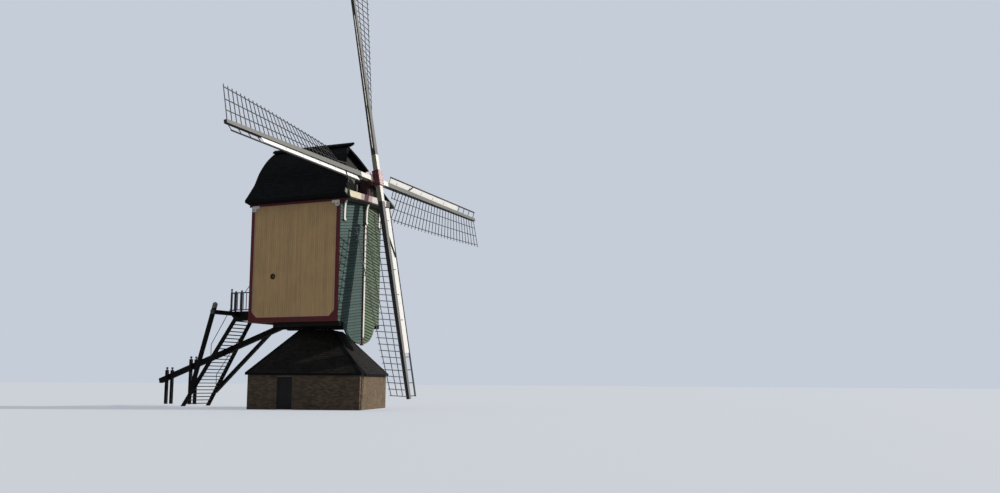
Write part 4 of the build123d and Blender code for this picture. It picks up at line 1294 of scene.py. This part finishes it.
# Sails: a dark lattice of laths on the trailing side, and on the leading side white windboards with a
# dark hem. Towards the tip the stays stand open. Each board is held by bolts through its stays, and a
# tarred strap crosses the boards near the hub.
lattice_paint = finish(
    "lattice_paint", (0.016, 0.016, 0.018), (0.06, 0.058, 0.055), (25, 25, 25),
    rough=0.7, dirty=0.4, grained=0.3, bump=0.002,
)
windboard_paint = finish(
    "windboard_paint", (0.92, 0.91, 0.88), (0.4, 0.38, 0.34), (10, 10, 10),
    rough=0.5, dirty=0.14, grained=0.05, bump=0.001,
)
stock_hub_half = 0.15
stock_tip_half = 0.095
stock_reach = 13.0
white_end = 10.4
board_angle = radians(27)
board_width = 0.365
board_thick = 0.025
board_inner = 1.8
stay_pitch = 0.74
strap_half = 0.045
strap_thick = 0.02
strap_under = 0.001
strap_ends = {"upper": (3.9, 4.4), "left": (2.9, 3.1), "lower": (3.2, 4.8), "right": (3.9, 4.4)}
bolt_shares = (0.42, 0.62)
bolt_out = board_inner + 0.04
board_bolt_seat = 0.004
board_bolt = (0.032, 0.024, 0.014)


def stock_half(radius):
    """Half the thickness of a stock at a distance from the hub."""
    share = (radius - poll_reach) / (stock_reach - poll_reach)
    return stock_hub_half + (stock_tip_half - stock_hub_half) * share


for step, name in enumerate(("upper", "left", "lower", "right")):
    dress(lattice_paint, "lattice_" + name)
    dress(windboard_paint, "windboards_" + name)
    turn = pi / 2 * step
    arm = upward * cos(turn) - across * sin(turn)
    lead = across * -cos(turn) - upward * sin(turn)
    board_out = (shaft_way * cos(board_angle) - lead * sin(board_angle)).normalized()
    origin = hub - shaft_way * (stock_step if step % 2 else 0)
    strap_start, strap_end = strap_ends[name]
    strap_run = Vector((strap_end - strap_start, board_width))
    strap_side = Vector((-strap_run.y, strap_run.x)).normalized()

    def sail_place(radius, along_board, off_board):
        """A point on the leading side: out from the hub, across the boards and off their back."""
        x = stock_half(radius) + along_board * cos(board_angle) - off_board * sin(board_angle)
        y = along_board * sin(board_angle) + off_board * cos(board_angle)
        return origin + arm * radius + lead * x + shaft_way * y

    def corner(u, v, w):
        skew = strap_side * v * strap_half
        radius = (strap_end if u > 0 else strap_start) + skew.x
        along_board = (board_width if u > 0 else 0.0) + skew.y
        return sail_place(radius, along_board, board_thick + (strap_thick if w > 0 else strap_under))

    bm = bmesh.new()
    block(bm, corner)
    piece("board_strap_" + name, bm, "sail_cross", tar, worn=0.002)

    bm = bmesh.new()
    for i in range(1, int((white_end - board_inner) / stay_pitch), 2):
        for share in bolt_shares:
            at = sail_place(bolt_out + i * stay_pitch, board_width * share, board_thick + board_bolt_seat)
            turned(bm, facing(at, board_out), *board_bolt)
    piece("board_bolts_" + name, bm, "sail_cross", iron)
